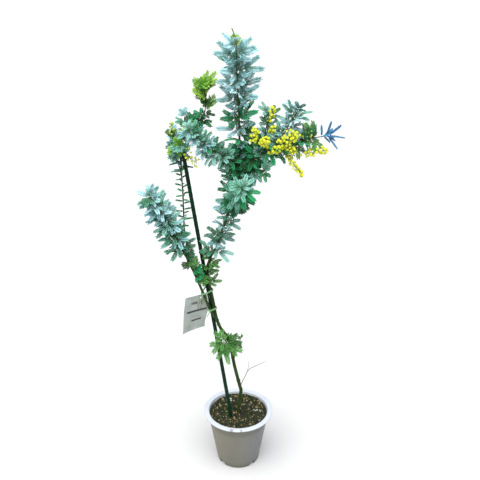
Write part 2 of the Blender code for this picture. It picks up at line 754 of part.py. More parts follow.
def make_stems(materials, obstacles):
    """Builds each stem with its leaves united to it, and cuts its foot to fit round its parent."""
    for name, stem in STEMS.items():
        made = make_object(name, tube(stem["line"], stem["radii"]), materials[stem["finish"]])
        leaves = place_leaves(name, stem, materials, obstacles)
        if leaves:
            join_with(made, leaves)
        if stem["side"]:
            parent = STEMS[stem["parent"]]
            wider = [radius + 1.5 * GAP for radius in parent["radii"]]
            clearance = make_object(name + "_clearance", tube(parent["line"], wider), materials["bark"])
            cut_from(made, clearance, "foot")
        shade_round(made, math.radians(55))


def label_fence():
    """A block a little larger than the label, for keeping leaves off it."""
    shape = bmesh.new()
    depth = Vector((0.0, 0.004, 0.0))
    corners = (LABEL_TOP_LEFT, LABEL_TOP_RIGHT, LABEL_BOTTOM_RIGHT, LABEL_BOTTOM_LEFT)
    front = [shape.verts.new(corner - depth) for corner in corners]
    back = [shape.verts.new(corner + depth) for corner in corners]
    shape.faces.new(front)
    shape.faces.new(back[::-1])
    for number in range(4):
        after = (number + 1) % 4
        shape.faces.new((back[number], back[after], front[after], front[number]))
    return shape


def place_leaves(name, stem, materials, obstacles):
    """Leaves in a spiral along the stem, each moved or made smaller until it clears its neighbours."""
    leaves = []
    for number in range(stem["leaves"]):
        share = number / max(1, stem["leaves"] - 1)
        point, along = point_on(stem["line"], stem["first"] + (stem["last"] - stem["first"]) * share)
        point = point - along * 0.0015
        for more_turn, more_lift, scale in LEAF_TRIES:
            angle = stem["turn"] + LEAF_TURN * number + math.radians(more_turn)
            lift = stem["lift"] * (1.0 - 0.25 * share) + math.radians(more_lift)
            place = leaf_place(point, along, angle, lift)
            size = stem["size"] * scale * (1.0 - 0.22 * share)
            if obstacles.hit(name, leaf_solid(place, size * 1.03, LEAF_THICKNESS + 2 * LEAF_MARGIN)):
                continue
            obstacles.add(name, leaf_solid(place, size, LEAF_THICKNESS))
            leaf = leaf_solid(place, size, LEAF_THICKNESS)
            leaves.append(make_object(f"{name}_leaf_{number}", leaf, materials["green"]))
            break
    return leaves


# Flower racemes: parent stem, share of its length, further points, and how many heads
RACEMES = {
    "raceme_left_low": (
        "flower_branch", 0.42, [(0.029, -0.026, 0.787), (0.033, -0.036, 0.821)], 8
    ),
    "raceme_left_high": (
        "flower_branch", 0.58, [(0.046, -0.034, 0.784), (0.053, -0.046, 0.805)], 8
    ),
    "raceme_crown": (
        "pale_side_shoot", 0.70, [(0.064, -0.010, 0.838), (0.066, -0.014, 0.856)], 6
    ),
    "raceme_crown_low": (
        "pale_side_shoot", 0.35, [(0.062, -0.012, 0.806), (0.068, -0.020, 0.818)], 4
    ),
    "raceme_middle": (
        "flower_branch", 0.80, [(0.085, -0.038, 0.792), (0.098, -0.046, 0.810), (0.111, -0.050, 0.814)], 12
    ),
    "raceme_middle_low": (
        "flower_branch", 0.70, [(0.069, -0.034, 0.778), (0.081, -0.044, 0.783)], 8
    ),
    "raceme_under": (
        "flower_branch_outer", 0.25, [(0.097, -0.038, 0.784), (0.107, -0.046, 0.781)], 7
    ),
    "raceme_hanging": (
        "flower_branch", 0.97, [(0.096, -0.034, 0.766), (0.109, -0.042, 0.748), (0.123, -0.046, 0.732)], 10
    ),
    "raceme_outer": (
        "flower_branch_outer", 0.70,
        [(0.125, -0.034, 0.774), (0.141, -0.040, 0.775), (0.155, -0.043, 0.781), (0.168, -0.044, 0.780)], 9
    ),
    "raceme_outer_high": (
        "flower_branch_outer", 0.60, [(0.134, -0.032, 0.806), (0.140, -0.034, 0.814)], 4
    ),
    "raceme_crown_left": (
        "crown_left_shoot", 0.80, [(-0.129, 0.012, 0.803), (-0.128, 0.008, 0.818)], 5
    ),
    "raceme_crown_front": (
        "crown_front_shoot", 0.45,
        [(-0.100, -0.012, 0.763), (-0.090, -0.018, 0.751), (-0.079, -0.020, 0.745)], 6
    ),
}


def make_racemes(materials, obstacles):
    """A thin stalk with round heads set alternately along it."""
    for name, (parent, at, points, heads) in RACEMES.items():
        start = point_on(STEMS[parent]["line"], at)[0]
        line = smooth_line([start] + [Vector(point) for point in points], 0.008)
        stalk = make_object(name, tube(line, [RACEME_STALK_RADIUS] * len(line), 4), materials["flower"])
        obstacles.add(name, tube(line, [RACEME_STALK_RADIUS + GAP] * len(line), 4))
        balls = []
        for number in range(heads):
            share = 0.35 + 0.65 * number / max(1, heads - 1)
            centre, along = point_on(line, share)
            side = along.orthogonal().normalized()
            reach = Matrix.Rotation(LEAF_TURN * number, 3, along) @ side * HEAD_REACH
            room = bmesh.new()
            place = Matrix.Translation(centre + reach)
            bmesh.ops.create_icosphere(room, subdivisions=1, radius=HEAD_RADIUS + 0.0006, matrix=place)
            if obstacles.hit(name, room):
                continue
            solid = bmesh.new()
            bmesh.ops.create_icosphere(solid, subdivisions=1, radius=HEAD_RADIUS, matrix=place)
            obstacles.add(name, solid.copy())
            balls.append(make_object(f"{name}_head_{number}", solid, materials["flower"]))
        if balls:
            join_with(stalk, balls)
        wider = [radius + 1.5 * GAP for radius in STEMS[parent]["radii"]]
        clearance = tube(STEMS[parent]["line"], wider)
        clearance = make_object(name + "_clearance", clearance, materials["bark"])
        cut_from(stalk, clearance, "foot")


def fit_soil(soil, materials):
    """Opens the potting mix for the trunk's foot and the cane."""
    trunk = STEMS["trunk"]
    low = [point for point in trunk["line"] if point.z < SOIL_TOP + 0.03]
    low[0] = low[0] - (low[1] - low[0]).normalized() * 2 * GAP
    socket = tube(low, [trunk["radii"][0] + 2 * GAP] * len(low))
    cut_from(soil, make_object("trunk_socket", socket, materials["soil"]), "trunk_socket")
    along = (CANE_TOP - CANE_FOOT).normalized()
    line = [CANE_FOOT - along * (POINT_LENGTH + 2 * GAP), CANE_FOOT + along * 0.14]
    socket = tube(line, [CANE_RADIUS + 2 * GAP] * 2, CANE_SIDES)
    cut_from(soil, make_object("cane_socket", socket, materials["soil"]), "cane_socket")


def main():
    clear_scene()
    materials = make_materials()
    make_pot(materials["pot"])
    soil = make_soil(materials["soil"])
    make_cane(materials)
    make_label(materials)
    plan_growth()
    fit_soil(soil, materials)
    make_ties(STEMS, materials["tie"])
    obstacles = Obstacles()
    fence_off(obstacles)
    make_racemes(materials, obstacles)
    make_stems(materials, obstacles)


main()
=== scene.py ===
import math

import bmesh
import bpy
import numpy as np
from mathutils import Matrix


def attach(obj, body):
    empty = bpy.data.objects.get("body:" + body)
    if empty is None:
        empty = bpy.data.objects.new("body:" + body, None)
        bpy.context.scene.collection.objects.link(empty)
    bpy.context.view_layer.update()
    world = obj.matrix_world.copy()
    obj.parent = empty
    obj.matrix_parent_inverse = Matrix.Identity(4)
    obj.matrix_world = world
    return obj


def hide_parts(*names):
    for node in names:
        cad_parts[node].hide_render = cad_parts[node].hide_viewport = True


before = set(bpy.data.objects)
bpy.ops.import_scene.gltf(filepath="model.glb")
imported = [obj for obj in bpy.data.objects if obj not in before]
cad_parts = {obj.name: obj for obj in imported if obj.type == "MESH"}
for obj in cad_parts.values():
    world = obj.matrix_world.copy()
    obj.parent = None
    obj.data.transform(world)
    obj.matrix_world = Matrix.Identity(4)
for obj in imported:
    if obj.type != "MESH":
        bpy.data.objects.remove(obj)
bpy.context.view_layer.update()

# Studio
# A plain pale floor under one large soft light that stands almost overhead, with weak light from all
# around. The camera looks down at the plant from a little above eye height, 1.6 m in front of the pot.
CAMERA_PLACE = (0.004, -1.6, 1.407)
CAMERA_TILT = math.radians(62.3)
CAMERA_LENS = 66.2
LIGHT_TILT = (math.radians(22), math.radians(-5), 0.0)
LIGHT_STRENGTH = 6.1
LIGHT_SPREAD = math.radians(75)
AIR_STRENGTH = 0.42
FLOOR_HALF = 120.0
FLOOR_TOP = -0.0002

camera = bpy.data.objects.new("camera", bpy.data.cameras.new("camera"))
camera.data.lens = CAMERA_LENS
camera.data.sensor_width = 36.0
camera.data.clip_start = 0.05
camera.location = CAMERA_PLACE
camera.rotation_euler = (CAMERA_TILT, 0.0, 0.0)
bpy.context.scene.collection.objects.link(camera)
bpy.context.scene.camera = camera
bpy.context.scene.view_settings.view_transform = "Standard"

overhead = bpy.data.objects.new("overhead_light", bpy.data.lights.new("overhead_light", "SUN"))
overhead.data.energy = LIGHT_STRENGTH
overhead.data.angle = LIGHT_SPREAD
overhead.rotation_euler = LIGHT_TILT
bpy.context.scene.collection.objects.link(overhead)

air = bpy.data.worlds.new("studio_air")
air.use_nodes = True
air.node_tree.nodes["Background"].inputs["Color"].default_value = (0.93, 0.97, 1.0, 1.0)
air.node_tree.nodes["Background"].inputs["Strength"].default_value = AIR_STRENGTH
bpy.context.scene.world = air


def new_finish(name, **sockets):
    """A material whose shader has these values on its own sockets."""
    made = bpy.data.materials.new(name)
    made.use_nodes = True
    for socket, value in sockets.items():
        made.node_tree.nodes["Principled BSDF"].inputs[socket.replace("_", " ")].default_value = value
    return made


def put(finish, kind, inputs=None, **settings):
    """Adds a node. Its inputs are values, or outputs of other nodes to wire in."""
    node = finish.node_tree.nodes.new("ShaderNode" + kind)
    for name, value in settings.items():
        setattr(node, name, value)
    wire(finish, node, inputs or {})
    return node


def wire(finish, node, inputs):
    for name, value in inputs.items():
        if isinstance(value, bpy.types.NodeSocket):
            finish.node_tree.links.new(value, node.inputs[name])
        else:
            node.inputs[name].default_value = value


def wire_shader(finish, **inputs):
    named = {name.replace("_", " "): value for name, value in inputs.items()}
    wire(finish, finish.node_tree.nodes["Principled BSDF"], named)


def speckle(finish, scale, detail=4.0, stretch=(1, 1, 1), distortion=0.0):
    """Noise from 0 to 1 over the piece, in metres, stretched along any axis."""
    place = put(finish, "TexCoord").outputs["Object"]
    fitted = put(finish, "Mapping", {"Vector": place, "Scale": stretch}).outputs["Vector"]
    noise = {"Vector": fitted, "Scale": scale, "Detail": detail, "Distortion": distortion}
    return put(finish, "TexNoise", noise).outputs["Fac"]


def ramp(finish, source, *stops):
    """Colours or greys along a value, each stop a place and a colour."""
    node = put(finish, "ValToRGB", {"Fac": source})
    while len(node.color_ramp.elements) < len(stops):
        node.color_ramp.elements.new(0.5)
    for element, (place, colour) in zip(node.color_ramp.elements, stops):
        element.position = place
        element.color = (*colour, 1.0) if isinstance(colour, tuple) else (colour, colour, colour, 1.0)
    return node.outputs["Color"]


def blend_colours(finish, share, first, second, way="MIX"):
    node = put(finish, "Mix", data_type="RGBA", blend_type=way)
    names = {"Factor": 0, "A": 6, "B": 7}
    for name, value in (("Factor", share), ("A", first), ("B", second)):
        socket = node.inputs[names[name]]
        if isinstance(value, bpy.types.NodeSocket):
            finish.node_tree.links.new(value, socket)
        else:
            socket.default_value = (*value, 1.0) if isinstance(value, tuple) else value
    return node.outputs[2]


def bump(finish, source, depth, strength=1.0):
    settings = {"Height": source, "Distance": depth, "Strength": strength}
    return put(finish, "Bump", settings).outputs["Normal"]


def make_piece(name, points, faces, finish, tones=None, smooth=True):
    """A mesh piece from points and faces, with any tones noted at its points."""
    mesh = bpy.data.meshes.new(name)
    mesh.from_pydata(points, [], faces)
    mesh.materials.append(finish)
    for tone_name, values in (tones or {}).items():
        mesh.attributes.new(tone_name, "FLOAT", "POINT").data.foreach_set("value", values)
    if smooth:
        mesh.shade_smooth()
    piece = bpy.data.objects.new(name, mesh)
    bpy.context.scene.collection.objects.link(piece)
    return piece


floor_finish = new_finish("pale_floor", Roughness=0.9, Specular_IOR_Level=0.1)
wire_shader(
    floor_finish,
    Base_Color=ramp(floor_finish, speckle(floor_finish, 3.0), (0.3, 0.505), (0.7, 0.52)),
)
floor_corners = [(x, y, z) for z in (FLOOR_TOP - 0.01, FLOOR_TOP)
                 for x, y in ((-FLOOR_HALF, -FLOOR_HALF), (FLOOR_HALF, -FLOOR_HALF),
                              (FLOOR_HALF, FLOOR_HALF), (-FLOOR_HALF, FLOOR_HALF))]
floor_faces = [(3, 2, 1, 0), (4, 5, 6, 7), (0, 1, 5, 4), (1, 2, 6, 5), (2, 3, 7, 6), (3, 0, 4, 7)]
make_piece("floor", floor_corners, floor_faces, floor_finish, smooth=False)

# Pot
# A nursery pot moulded in one piece from white plastic: a tapered wall under a faint collar line, a rim
# turned outwards, a flat floor with round drain holes, and four notches at the foot that let water out.
POT_HEIGHT = 0.1325
POT_FOOT = 0.0475
POT_FOOT_ROUND = 0.0022
POT_COLLAR = 0.0649
POT_COLLAR_Z = 0.1065
POT_NECK = 0.0672
POT_RIM = 0.0775
POT_RIM_THICKNESS = 0.004
POT_WALL = 0.0016
POT_FLOOR = 0.0020
POT_SIDES = 144
DRAIN_RING, DRAIN_RADIUS, DRAIN_COUNT, DRAIN_FIRST = 0.026, 0.0045, 5, 11
NOTCH_SIZE, NOTCH_COUNT, NOTCH_FIRST = (0.016, 0.015, 0.018), 4, 41
RIM_MARKS = (-102, -85)


def arc(middle, height, radius, start, end, steps=6):
    """Part of a circle in a profile, from one angle to another in degrees."""
    turns = [math.radians(start + (end - start) * step / steps) for step in range(steps + 1)]
    return [(middle + radius * math.cos(turn), height + radius * math.sin(turn)) for turn in turns]


def spin(profile, sides):
    """Points and faces of a closed round solid, from a profile that starts and ends on the axis."""
    points, rings, faces = [], [], []
    for radius, height in profile:
        count = 1 if radius < 1e-7 else sides
        rings.append([len(points) + side for side in range(count)])
        for side in range(count):
            turn = math.tau * side / sides
            points.append((radius * math.cos(turn), radius * math.sin(turn), height))
    for low, high in zip(rings, rings[1:]):
        for side in range(sides):
            after = (side + 1) % sides
            corners = [low[side % len(low)], low[after % len(low)],
                       high[after % len(high)], high[side % len(high)]]
            faces.append(list(dict.fromkeys(corners)))
    return points, faces


def pot_inside(height):
    share = (height - POT_FLOOR) / (POT_HEIGHT - POT_RIM_THICKNESS - POT_FLOOR)
    return POT_FOOT - POT_WALL + (POT_NECK - POT_FOOT) * share


def cut_away(piece, cutters):
    """Cuts solids out of a piece for good and removes them."""
    for cutter in cutters:
        step = piece.modifiers.new("cut", "BOOLEAN")
        step.operation, step.solver, step.object = "DIFFERENCE", "EXACT", cutter
    cut = bpy.data.meshes.new_from_object(piece.evaluated_get(bpy.context.evaluated_depsgraph_get()))
    piece.modifiers.clear()
    piece.data = cut
    for cutter in cutters:
        bpy.data.objects.remove(cutter)


pot_profile = [(0.0, 0.0), (0.020, 0.0), (0.040, 0.0)]
pot_profile += arc(POT_FOOT - POT_FOOT_ROUND, POT_FOOT_ROUND, POT_FOOT_ROUND, -90, -8, 6)
for share in (0.15, 0.3, 0.45, 0.6, 0.75, 0.9, 0.98):
    pot_profile.append((POT_FOOT + (POT_COLLAR - POT_FOOT) * share,
                        POT_FOOT_ROUND + (POT_COLLAR_Z - POT_FOOT_ROUND) * share))
pot_profile += [(POT_COLLAR, POT_COLLAR_Z), (POT_COLLAR + 0.0003, POT_COLLAR_Z + 0.0001)]
pot_profile += [(POT_COLLAR + 0.0009, POT_COLLAR_Z + 0.0006), (POT_COLLAR + 0.0010, POT_COLLAR_Z + 0.0014)]
pot_profile += [(POT_NECK - 0.0002, POT_HEIGHT - 0.0060), (POT_NECK + 0.0002, POT_HEIGHT - 0.0046)]
pot_profile += [(POT_NECK + 0.0012, POT_HEIGHT - 0.0040)]
pot_profile += arc(POT_RIM - 0.0016, POT_HEIGHT - 0.0024, 0.0016, -80, 0, 5)
pot_profile += arc(POT_RIM - 0.0020, POT_HEIGHT - 0.0020, 0.0020, 10, 90, 6)
pot_profile += [(0.0735, POT_HEIGHT), (0.0700, POT_HEIGHT - 0.0001)]
pot_profile += arc(POT_NECK + 0.0008, POT_HEIGHT - 0.0020, 0.0020, 95, 180, 6)
pot_profile += [(pot_inside(z), z) for z in (POT_HEIGHT - POT_RIM_THICKNESS, 0.112, 0.080, 0.040, 0.004)]
pot_profile += [(pot_inside(POT_FLOOR) - 0.0012, POT_FLOOR + 0.0004), (0.030, POT_FLOOR), (0.0, POT_FLOOR)]

pot_plastic = new_finish("white_pot_plastic", IOR=1.49, Specular_IOR_Level=0.45)
pot_clouds = speckle(pot_plastic, 22.0, 5.0, (1, 1, 0.35))
pot_streaks = speckle(pot_plastic, 160.0, 6.0, (1, 1, 0.12), 0.4)
pot_place = put(pot_plastic, "SeparateXYZ", {"Vector": put(pot_plastic, "TexCoord").outputs["Object"]})
pot_across = put(pot_plastic, "MapRange",
                 {"Value": pot_place.outputs["X"], "From Min": -0.06, "From Max": 0.06})
pot_unshaded = put(pot_plastic, "Attribute", attribute_name="unshaded_white").outputs["Fac"]
# Painted shade: a dark line at the collar, and a darker band above it up to the rim, where the rim's shadow
# falls. The wall also darkens towards its foot.
pot_shade_bands = ramp(pot_plastic, pot_place.outputs["Z"], (0.0, 0.75), (0.016, 0.10), (0.09, 0.0),
                 (0.1050, 0.0), (0.1064, 1.0), (0.1085, 0.28), (0.1200, 0.30), (0.1260, 0.75))
# Painted shade: the outside wall is painted grey, warmer on the left and cooler on the right. The rim and
# the inside take the white further down.
pot_base = ramp(pot_plastic, pot_across.outputs["Result"], (0.10, (0.178, 0.166, 0.120)),
                (0.50, (0.166, 0.161, 0.131)), (0.90, (0.153, 0.160, 0.165)))
pot_mottled = blend_colours(pot_plastic, 1.0, pot_base,
                            ramp(pot_plastic, pot_clouds, (0.32, 0.88), (0.68, 1.0)), "MULTIPLY")
pot_streaked = blend_colours(pot_plastic, ramp(pot_plastic, pot_streaks, (0.55, 0.0), (0.78, 0.20)),
                             pot_mottled, (0.145, 0.138, 0.110))
pot_body = blend_colours(pot_plastic, pot_shade_bands, pot_streaked, (0.085, 0.082, 0.056))
pot_white = ramp(pot_plastic, pot_clouds, (0.32, (0.415, 0.445, 0.500)), (0.68, (0.470, 0.500, 0.540)))
wire_shader(
    pot_plastic,
    Base_Color=blend_colours(pot_plastic, pot_unshaded, pot_body, pot_white),
    Roughness=ramp(pot_plastic, pot_streaks, (0.3, 0.34), (0.75, 0.56)),
    Normal=bump(pot_plastic, speckle(pot_plastic, 900.0, 3.0), 0.00005, 0.6),
)

pot = make_piece("pot_shell", *spin(pot_profile, POT_SIDES), pot_plastic)
pot_cutters = []
for number in range(DRAIN_COUNT):
    turn = math.radians(DRAIN_FIRST) + math.tau * number / DRAIN_COUNT
    hole, faces = spin([(0.0, -0.004), (DRAIN_RADIUS, -0.004), (DRAIN_RADIUS, 0.008), (0.0, 0.008)], 24)
    middle = (DRAIN_RING * math.cos(turn), DRAIN_RING * math.sin(turn))
    hole = [(x + middle[0], y + middle[1], z) for x, y, z in hole]
    pot_cutters.append(make_piece(f"drain_{number}", hole, faces, pot_plastic))
for number in range(NOTCH_COUNT):
    turn = math.radians(NOTCH_FIRST) + math.tau * number / NOTCH_COUNT
    block = []
    for x, y, z in floor_corners:
        out = POT_FOOT + 0.0010 + math.copysign(NOTCH_SIZE[0] / 2, x)
        across = math.copysign(NOTCH_SIZE[1] / 2, y)
        up = NOTCH_SIZE[2] / 2 * (1 if z == FLOOR_TOP else -1)
        block.append((out * math.cos(turn) - across * math.sin(turn),
                      out * math.sin(turn) + across * math.cos(turn), up))
    pot_cutters.append(make_piece(f"notch_{number}", block, floor_faces, pot_plastic, smooth=False))
cut_away(pot, pot_cutters)
# The rim and the inside stay white. The wall outside is painted grey, a painted shade, and two marks on the
# rim are greyed too.
pot_whiteness = []
for vertex in pot.data.vertices:
    x, y, z = vertex.co
    away = math.hypot(x, y)
    white = float(away > 0.0745 or z > POT_HEIGHT - 0.0021 or (z > 0.09 and away < pot_inside(z) + 0.0009))
    angle = math.degrees(math.atan2(y, x))
    if away > 0.070 and min(abs(angle - mark) for mark in RIM_MARKS) < 2.2:
        white *= 0.35
    pot_whiteness.append(white)
pot.data.attributes.new("unshaded_white", "FLOAT", "POINT").data.foreach_set("value", pot_whiteness)
pot.data.set_sharp_from_angle(angle=math.radians(35))
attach(pot, "root")
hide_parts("pot")

# Potting mix
# Dark, damp bark and peat fills the pot up to a finger's width under the rim. White perlite, tan pumice,
# an orange pebble or two and chips of bark lie loose on its uneven top.
SOIL_TOP = 0.1255
SOIL_RIPPLE = 0.0012
SOIL_RISE = 0.0032
SOIL_CLEARANCE = 0.0006
SOIL_RINGS = 34
SOIL_SIDES = 120
# Where the trunk and the cane stand in the mix
STANDING = ((-0.001, 0.002, 0.0062), (-0.0156, -0.0193, 0.0062))


def soil_height(x, y):
    ripple = math.sin(x * 160 + 1.3) * math.cos(y * 140 - 0.4) + 0.6 * math.sin(x * 310 - y * 270)
    return SOIL_TOP + SOIL_RIPPLE * ripple + SOIL_RISE * max(0.0, y / soil_edge) ** 2


soil_chance = np.random.default_rng(11)
soil_edge = pot_inside(SOIL_TOP) - SOIL_CLEARANCE
soil_profile = [(0.0, 0.0026), (0.0388, 0.0026), (0.0388, 0.008), (pot_inside(0.008) - 0.0008, 0.008)]
soil_profile += [(soil_edge, SOIL_TOP - 0.0010)]
soil_profile += [(soil_edge * (1 - ring / SOIL_RINGS), SOIL_TOP) for ring in range(SOIL_RINGS + 1)]
soil_points, soil_faces = spin(soil_profile, SOIL_SIDES)
for index, (x, y, z) in enumerate(soil_points):
    if z == SOIL_TOP:
        grain = 0.55 * soil_chance.normal() * 0.0007
        edge_fall = 0.0014 * max(0.0, math.hypot(x, y) / soil_edge - 0.86) / 0.14
        soil_points[index] = (x, y, soil_height(x, y) + grain - edge_fall)

soil_finish = new_finish("damp_potting_mix", Specular_IOR_Level=0.3)
soil_crumbs = speckle(soil_finish, 420.0, 8.0)
soil_patches = speckle(soil_finish, 70.0, 4.0)
soil_dark = ramp(soil_finish, soil_crumbs, (0.38, (0.0015, 0.0020, 0.0008)), (0.54, (0.008, 0.009, 0.003)),
                 (0.70, (0.050, 0.048, 0.020)))
wire_shader(
    soil_finish,
    Base_Color=blend_colours(soil_finish, ramp(soil_finish, soil_patches, (0.4, 0.0), (0.7, 0.6)),
                             soil_dark, (0.010, 0.018, 0.005)),
    Roughness=ramp(soil_finish, soil_patches, (0.3, 0.62), (0.7, 0.98)),
    Normal=bump(soil_finish, soil_crumbs, 0.0009),
)
soil = make_piece("potting_mix_bed", soil_points, soil_faces, soil_finish)
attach(soil, "root")
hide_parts("potting_mix")


def grain_template():
    """A small round stone of 42 points, as points and triangles."""
    shape = bmesh.new()
    bmesh.ops.create_icosphere(shape, subdivisions=2, radius=1.0)
    points = np.array([vertex.co[:] for vertex in shape.verts])
    faces = np.array([[vertex.index for vertex in face.verts] for face in shape.faces])
    shape.free()
    return points, faces


GRAIN_POINTS, GRAIN_FACES = grain_template()


def random_turn(chance):
    """A random rotation, as a 3 by 3 array."""
    made, _ = np.linalg.qr(chance.normal(size=(3, 3)))
    return made if np.linalg.det(made) > 0 else -made


def scatter_grains(name, count, sizes, shape, rough, finish, seed, chosen=()):
    """Loose bits on the mix, half sunk in it, as one piece. Their sizes are in millimetres, and so are the
    place and size of each chosen one."""
    chance = np.random.default_rng(seed)
    places = [(x / 1000, y / 1000, size / 1000) for x, y, size in chosen]
    while len(places) < count + len(chosen):
        reach = (soil_edge - 0.0030) * math.sqrt(chance.random())
        turn = math.tau * chance.random()
        x, y = reach * math.cos(turn), reach * math.sin(turn)
        if all(math.hypot(x - cx, y - cy) > room for cx, cy, room in STANDING):
            places.append((x, y, chance.uniform(sizes[0] / 1000, sizes[1] / 1000)))
    points, faces, tones = [], [], []
    for number, (x, y, size) in enumerate(places):
        lumpy = GRAIN_POINTS * (1 + rough * chance.normal(size=(len(GRAIN_POINTS), 1)))
        lumpy = lumpy * np.array(shape) * size * chance.uniform(0.75, 1.25, 3)
        lumpy = lumpy @ random_turn(chance).T
        if size * max(shape) > 0.003:
            lumpy[:, 2] *= 0.45
        lift = 0.25 * np.ptp(lumpy[:, 2])
        points.append(lumpy + (x, y, soil_height(x, y) + lift))
        faces.append(GRAIN_FACES + number * len(GRAIN_POINTS))
        tones.append(np.full(len(GRAIN_POINTS), chance.random()))
    piece = make_piece(name, np.vstack(points), np.vstack(faces), finish, {"tone": np.concatenate(tones)})
    piece.data.set_sharp_from_angle(angle=math.radians(38))
    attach(piece, "root")


def grain_finish(name, dark, light, roughness):
    """Bits whose colour goes from dark to light by the bit's own tone, with fine pits."""
    made = new_finish(name, Roughness=roughness, Specular_IOR_Level=0.25)
    tone = put(made, "Attribute", attribute_name="tone").outputs["Fac"]
    pits = speckle(made, 1500.0, 5.0)
    wire_shader(
        made,
        Base_Color=blend_colours(made, ramp(made, pits, (0.45, 0.0), (0.62, 0.45)),
                                 ramp(made, tone, (0.0, dark), (1.0, light)),
                                 tuple(0.45 * part for part in dark)),
        Normal=bump(made, pits, 0.0004),
    )
    return made


perlite = grain_finish("white_perlite", (0.20, 0.21, 0.18), (0.50, 0.52, 0.48), 0.9)
pumice = grain_finish("tan_pumice", (0.075, 0.060, 0.025), (0.34, 0.29, 0.15), 0.9)
pebble = grain_finish("orange_pebble", (0.26, 0.13, 0.06), (0.50, 0.28, 0.16), 0.7)
bark_chip = grain_finish("bark_chip", (0.004, 0.003, 0.0015), (0.070, 0.045, 0.018), 0.85)
moss_crumb = grain_finish("green_crumb", (0.006, 0.012, 0.003), (0.045, 0.070, 0.018), 0.95)
moss_bit = grain_finish("pale_green_bit", (0.060, 0.090, 0.015), (0.260, 0.310, 0.110), 0.9)
scatter_grains("perlite_grains", 34, (0.7, 1.5), (1, 0.9, 0.8), 0.12, perlite, 21,
               [(-17, 43, 3), (-17, 38, 2.4), (-10, 37, 1.6), (26, 21, 2),
                (43, 2, 2.2), (39, 0, 1.8), (36, 4, 1.6), (-46, -10, 1.9),
                (47, -31, 1.6)])
scatter_grains("pumice_grains", 150, (0.9, 2.2), (1, 0.85, 0.8), 0.10, pumice, 22,
               [(-36, 40, 2.8), (46, 36, 2.8), (30, 28, 2.4), (4, 8, 2.6),
                (-28, 24, 2.4), (2, -26, 2.4), (-9, -23, 2.8)])
scatter_grains("pebbles", 9, (0.9, 1.7), (1, 0.8, 0.7), 0.07, pebble, 23,
               [(-9.9, -4.5, 2.7), (48, 26, 2)])
scatter_grains("bark_chips", 320, (1.0, 2.8), (1.5, 0.7, 0.3), 0.10, bark_chip, 24)
scatter_grains("fine_crumbs", 420, (0.6, 1.7), (1, 0.9, 0.8), 0.14, moss_crumb, 25)
scatter_grains("moss_bits", 60, (0.8, 1.8), (1, 0.9, 0.7), 0.12, moss_bit, 26,
               [(-42, 20, 2.6), (50, 0, 2.6), (-26, -14, 2.6), (40, 14, 2)])

# Cane
# A thin steel tube in a skin of dark green plastic with rows of small nubs, pushed into the mix at a
# slant. A moulded cap closes its top, and a moulded point its foot, each plugged into the bore.
CANE_FOOT = np.array((0.000, -0.026, 0.020))
CANE_TOP = np.array((-0.110, 0.021, 0.762))
CANE_RADIUS = 0.0040
CANE_NUB_GAP = 0.016
CANE_NUB_HEIGHT = 0.00045
CANE_NUB_LENGTH, CANE_NUB_TURN = 0.0022, 0.42
CANE_SIDES = 24


def unit(direction):
    return direction / np.linalg.norm(direction)


def line_frames(line, closed=False):
    """For each point of a line its direction and two sideways ones, carried along without twisting."""
    if closed:
        along = np.roll(line, -1, axis=0) - np.roll(line, 1, axis=0)
    else:
        along = np.gradient(line, axis=0)
    along = along / np.linalg.norm(along, axis=1)[:, None]
    seed = np.array((0.0, 1.0, 0.0)) if abs(along[0][1]) < 0.9 else np.array((1.0, 0.0, 0.0))
    sides = []
    side = seed
    for direction in along:
        side = unit(side - direction * (side @ direction))
        sides.append(side)
    sides = np.array(sides)
    return along, sides, np.cross(along, sides)


def tube(line, radii, sides=10, swell=None, closed=False):
    """Points and triangles of a closed tube. Swell gives each ring's and side's share of the radius."""
    line, radii = np.asarray(line, float), np.asarray(radii, float)
    _, across, up = line_frames(line, closed)
    turns = math.tau * np.arange(sides) / sides
    reach = radii[:, None] * (np.ones((len(line), sides)) if swell is None else swell)
    rings = line[:, None] + reach[..., None] * (
        np.cos(turns)[None, :, None] * across[:, None] + np.sin(turns)[None, :, None] * up[:, None])
    points = rings.reshape(-1, 3)
    count = len(line)
    spans = count if closed else count - 1
    low = (np.arange(spans)[:, None] * sides + np.arange(sides)).ravel()
    low_next = (np.arange(spans)[:, None] * sides + (np.arange(sides) + 1) % sides).ravel()
    high, high_next = (low + sides) % (count * sides), (low_next + sides) % (count * sides)
    faces = [np.column_stack((low, low_next, high_next)), np.column_stack((low, high_next, high))]
    if not closed:
        ends = np.array((line[0], line[-1]))
        points = np.vstack((points, ends))
        around = np.arange(sides)
        after = (around + 1) % sides
        foot, top = np.full(sides, count * sides), np.full(sides, count * sides + 1)
        last = (count - 1) * sides
        faces += [np.column_stack((after, around, foot)),
                  np.column_stack((last + around, last + after, top))]
    return points, np.vstack(faces)


cane_along = unit(CANE_TOP - CANE_FOOT)
cane_length = np.linalg.norm(CANE_TOP - CANE_FOOT)
cane_places = np.arange(0.0, cane_length, 0.002)
cane_line = CANE_FOOT + cane_places[:, None] * cane_along
cane_turns = math.tau * np.arange(CANE_SIDES) / CANE_SIDES
cane_nubs = np.ones((len(cane_places), CANE_SIDES))
for row in range(int(cane_length / CANE_NUB_GAP)):
    for third in range(3):
        nub_turn = math.tau * third / 3 + (row % 2) * math.pi / 3
        away = (cane_turns - nub_turn + math.pi) % math.tau - math.pi
        along = (cane_places - (row + 0.6) * CANE_NUB_GAP) / CANE_NUB_LENGTH
        nearness = along[:, None] ** 2 + (away / CANE_NUB_TURN) ** 2
        cane_nubs += CANE_NUB_HEIGHT / CANE_RADIUS * np.exp(-nearness)

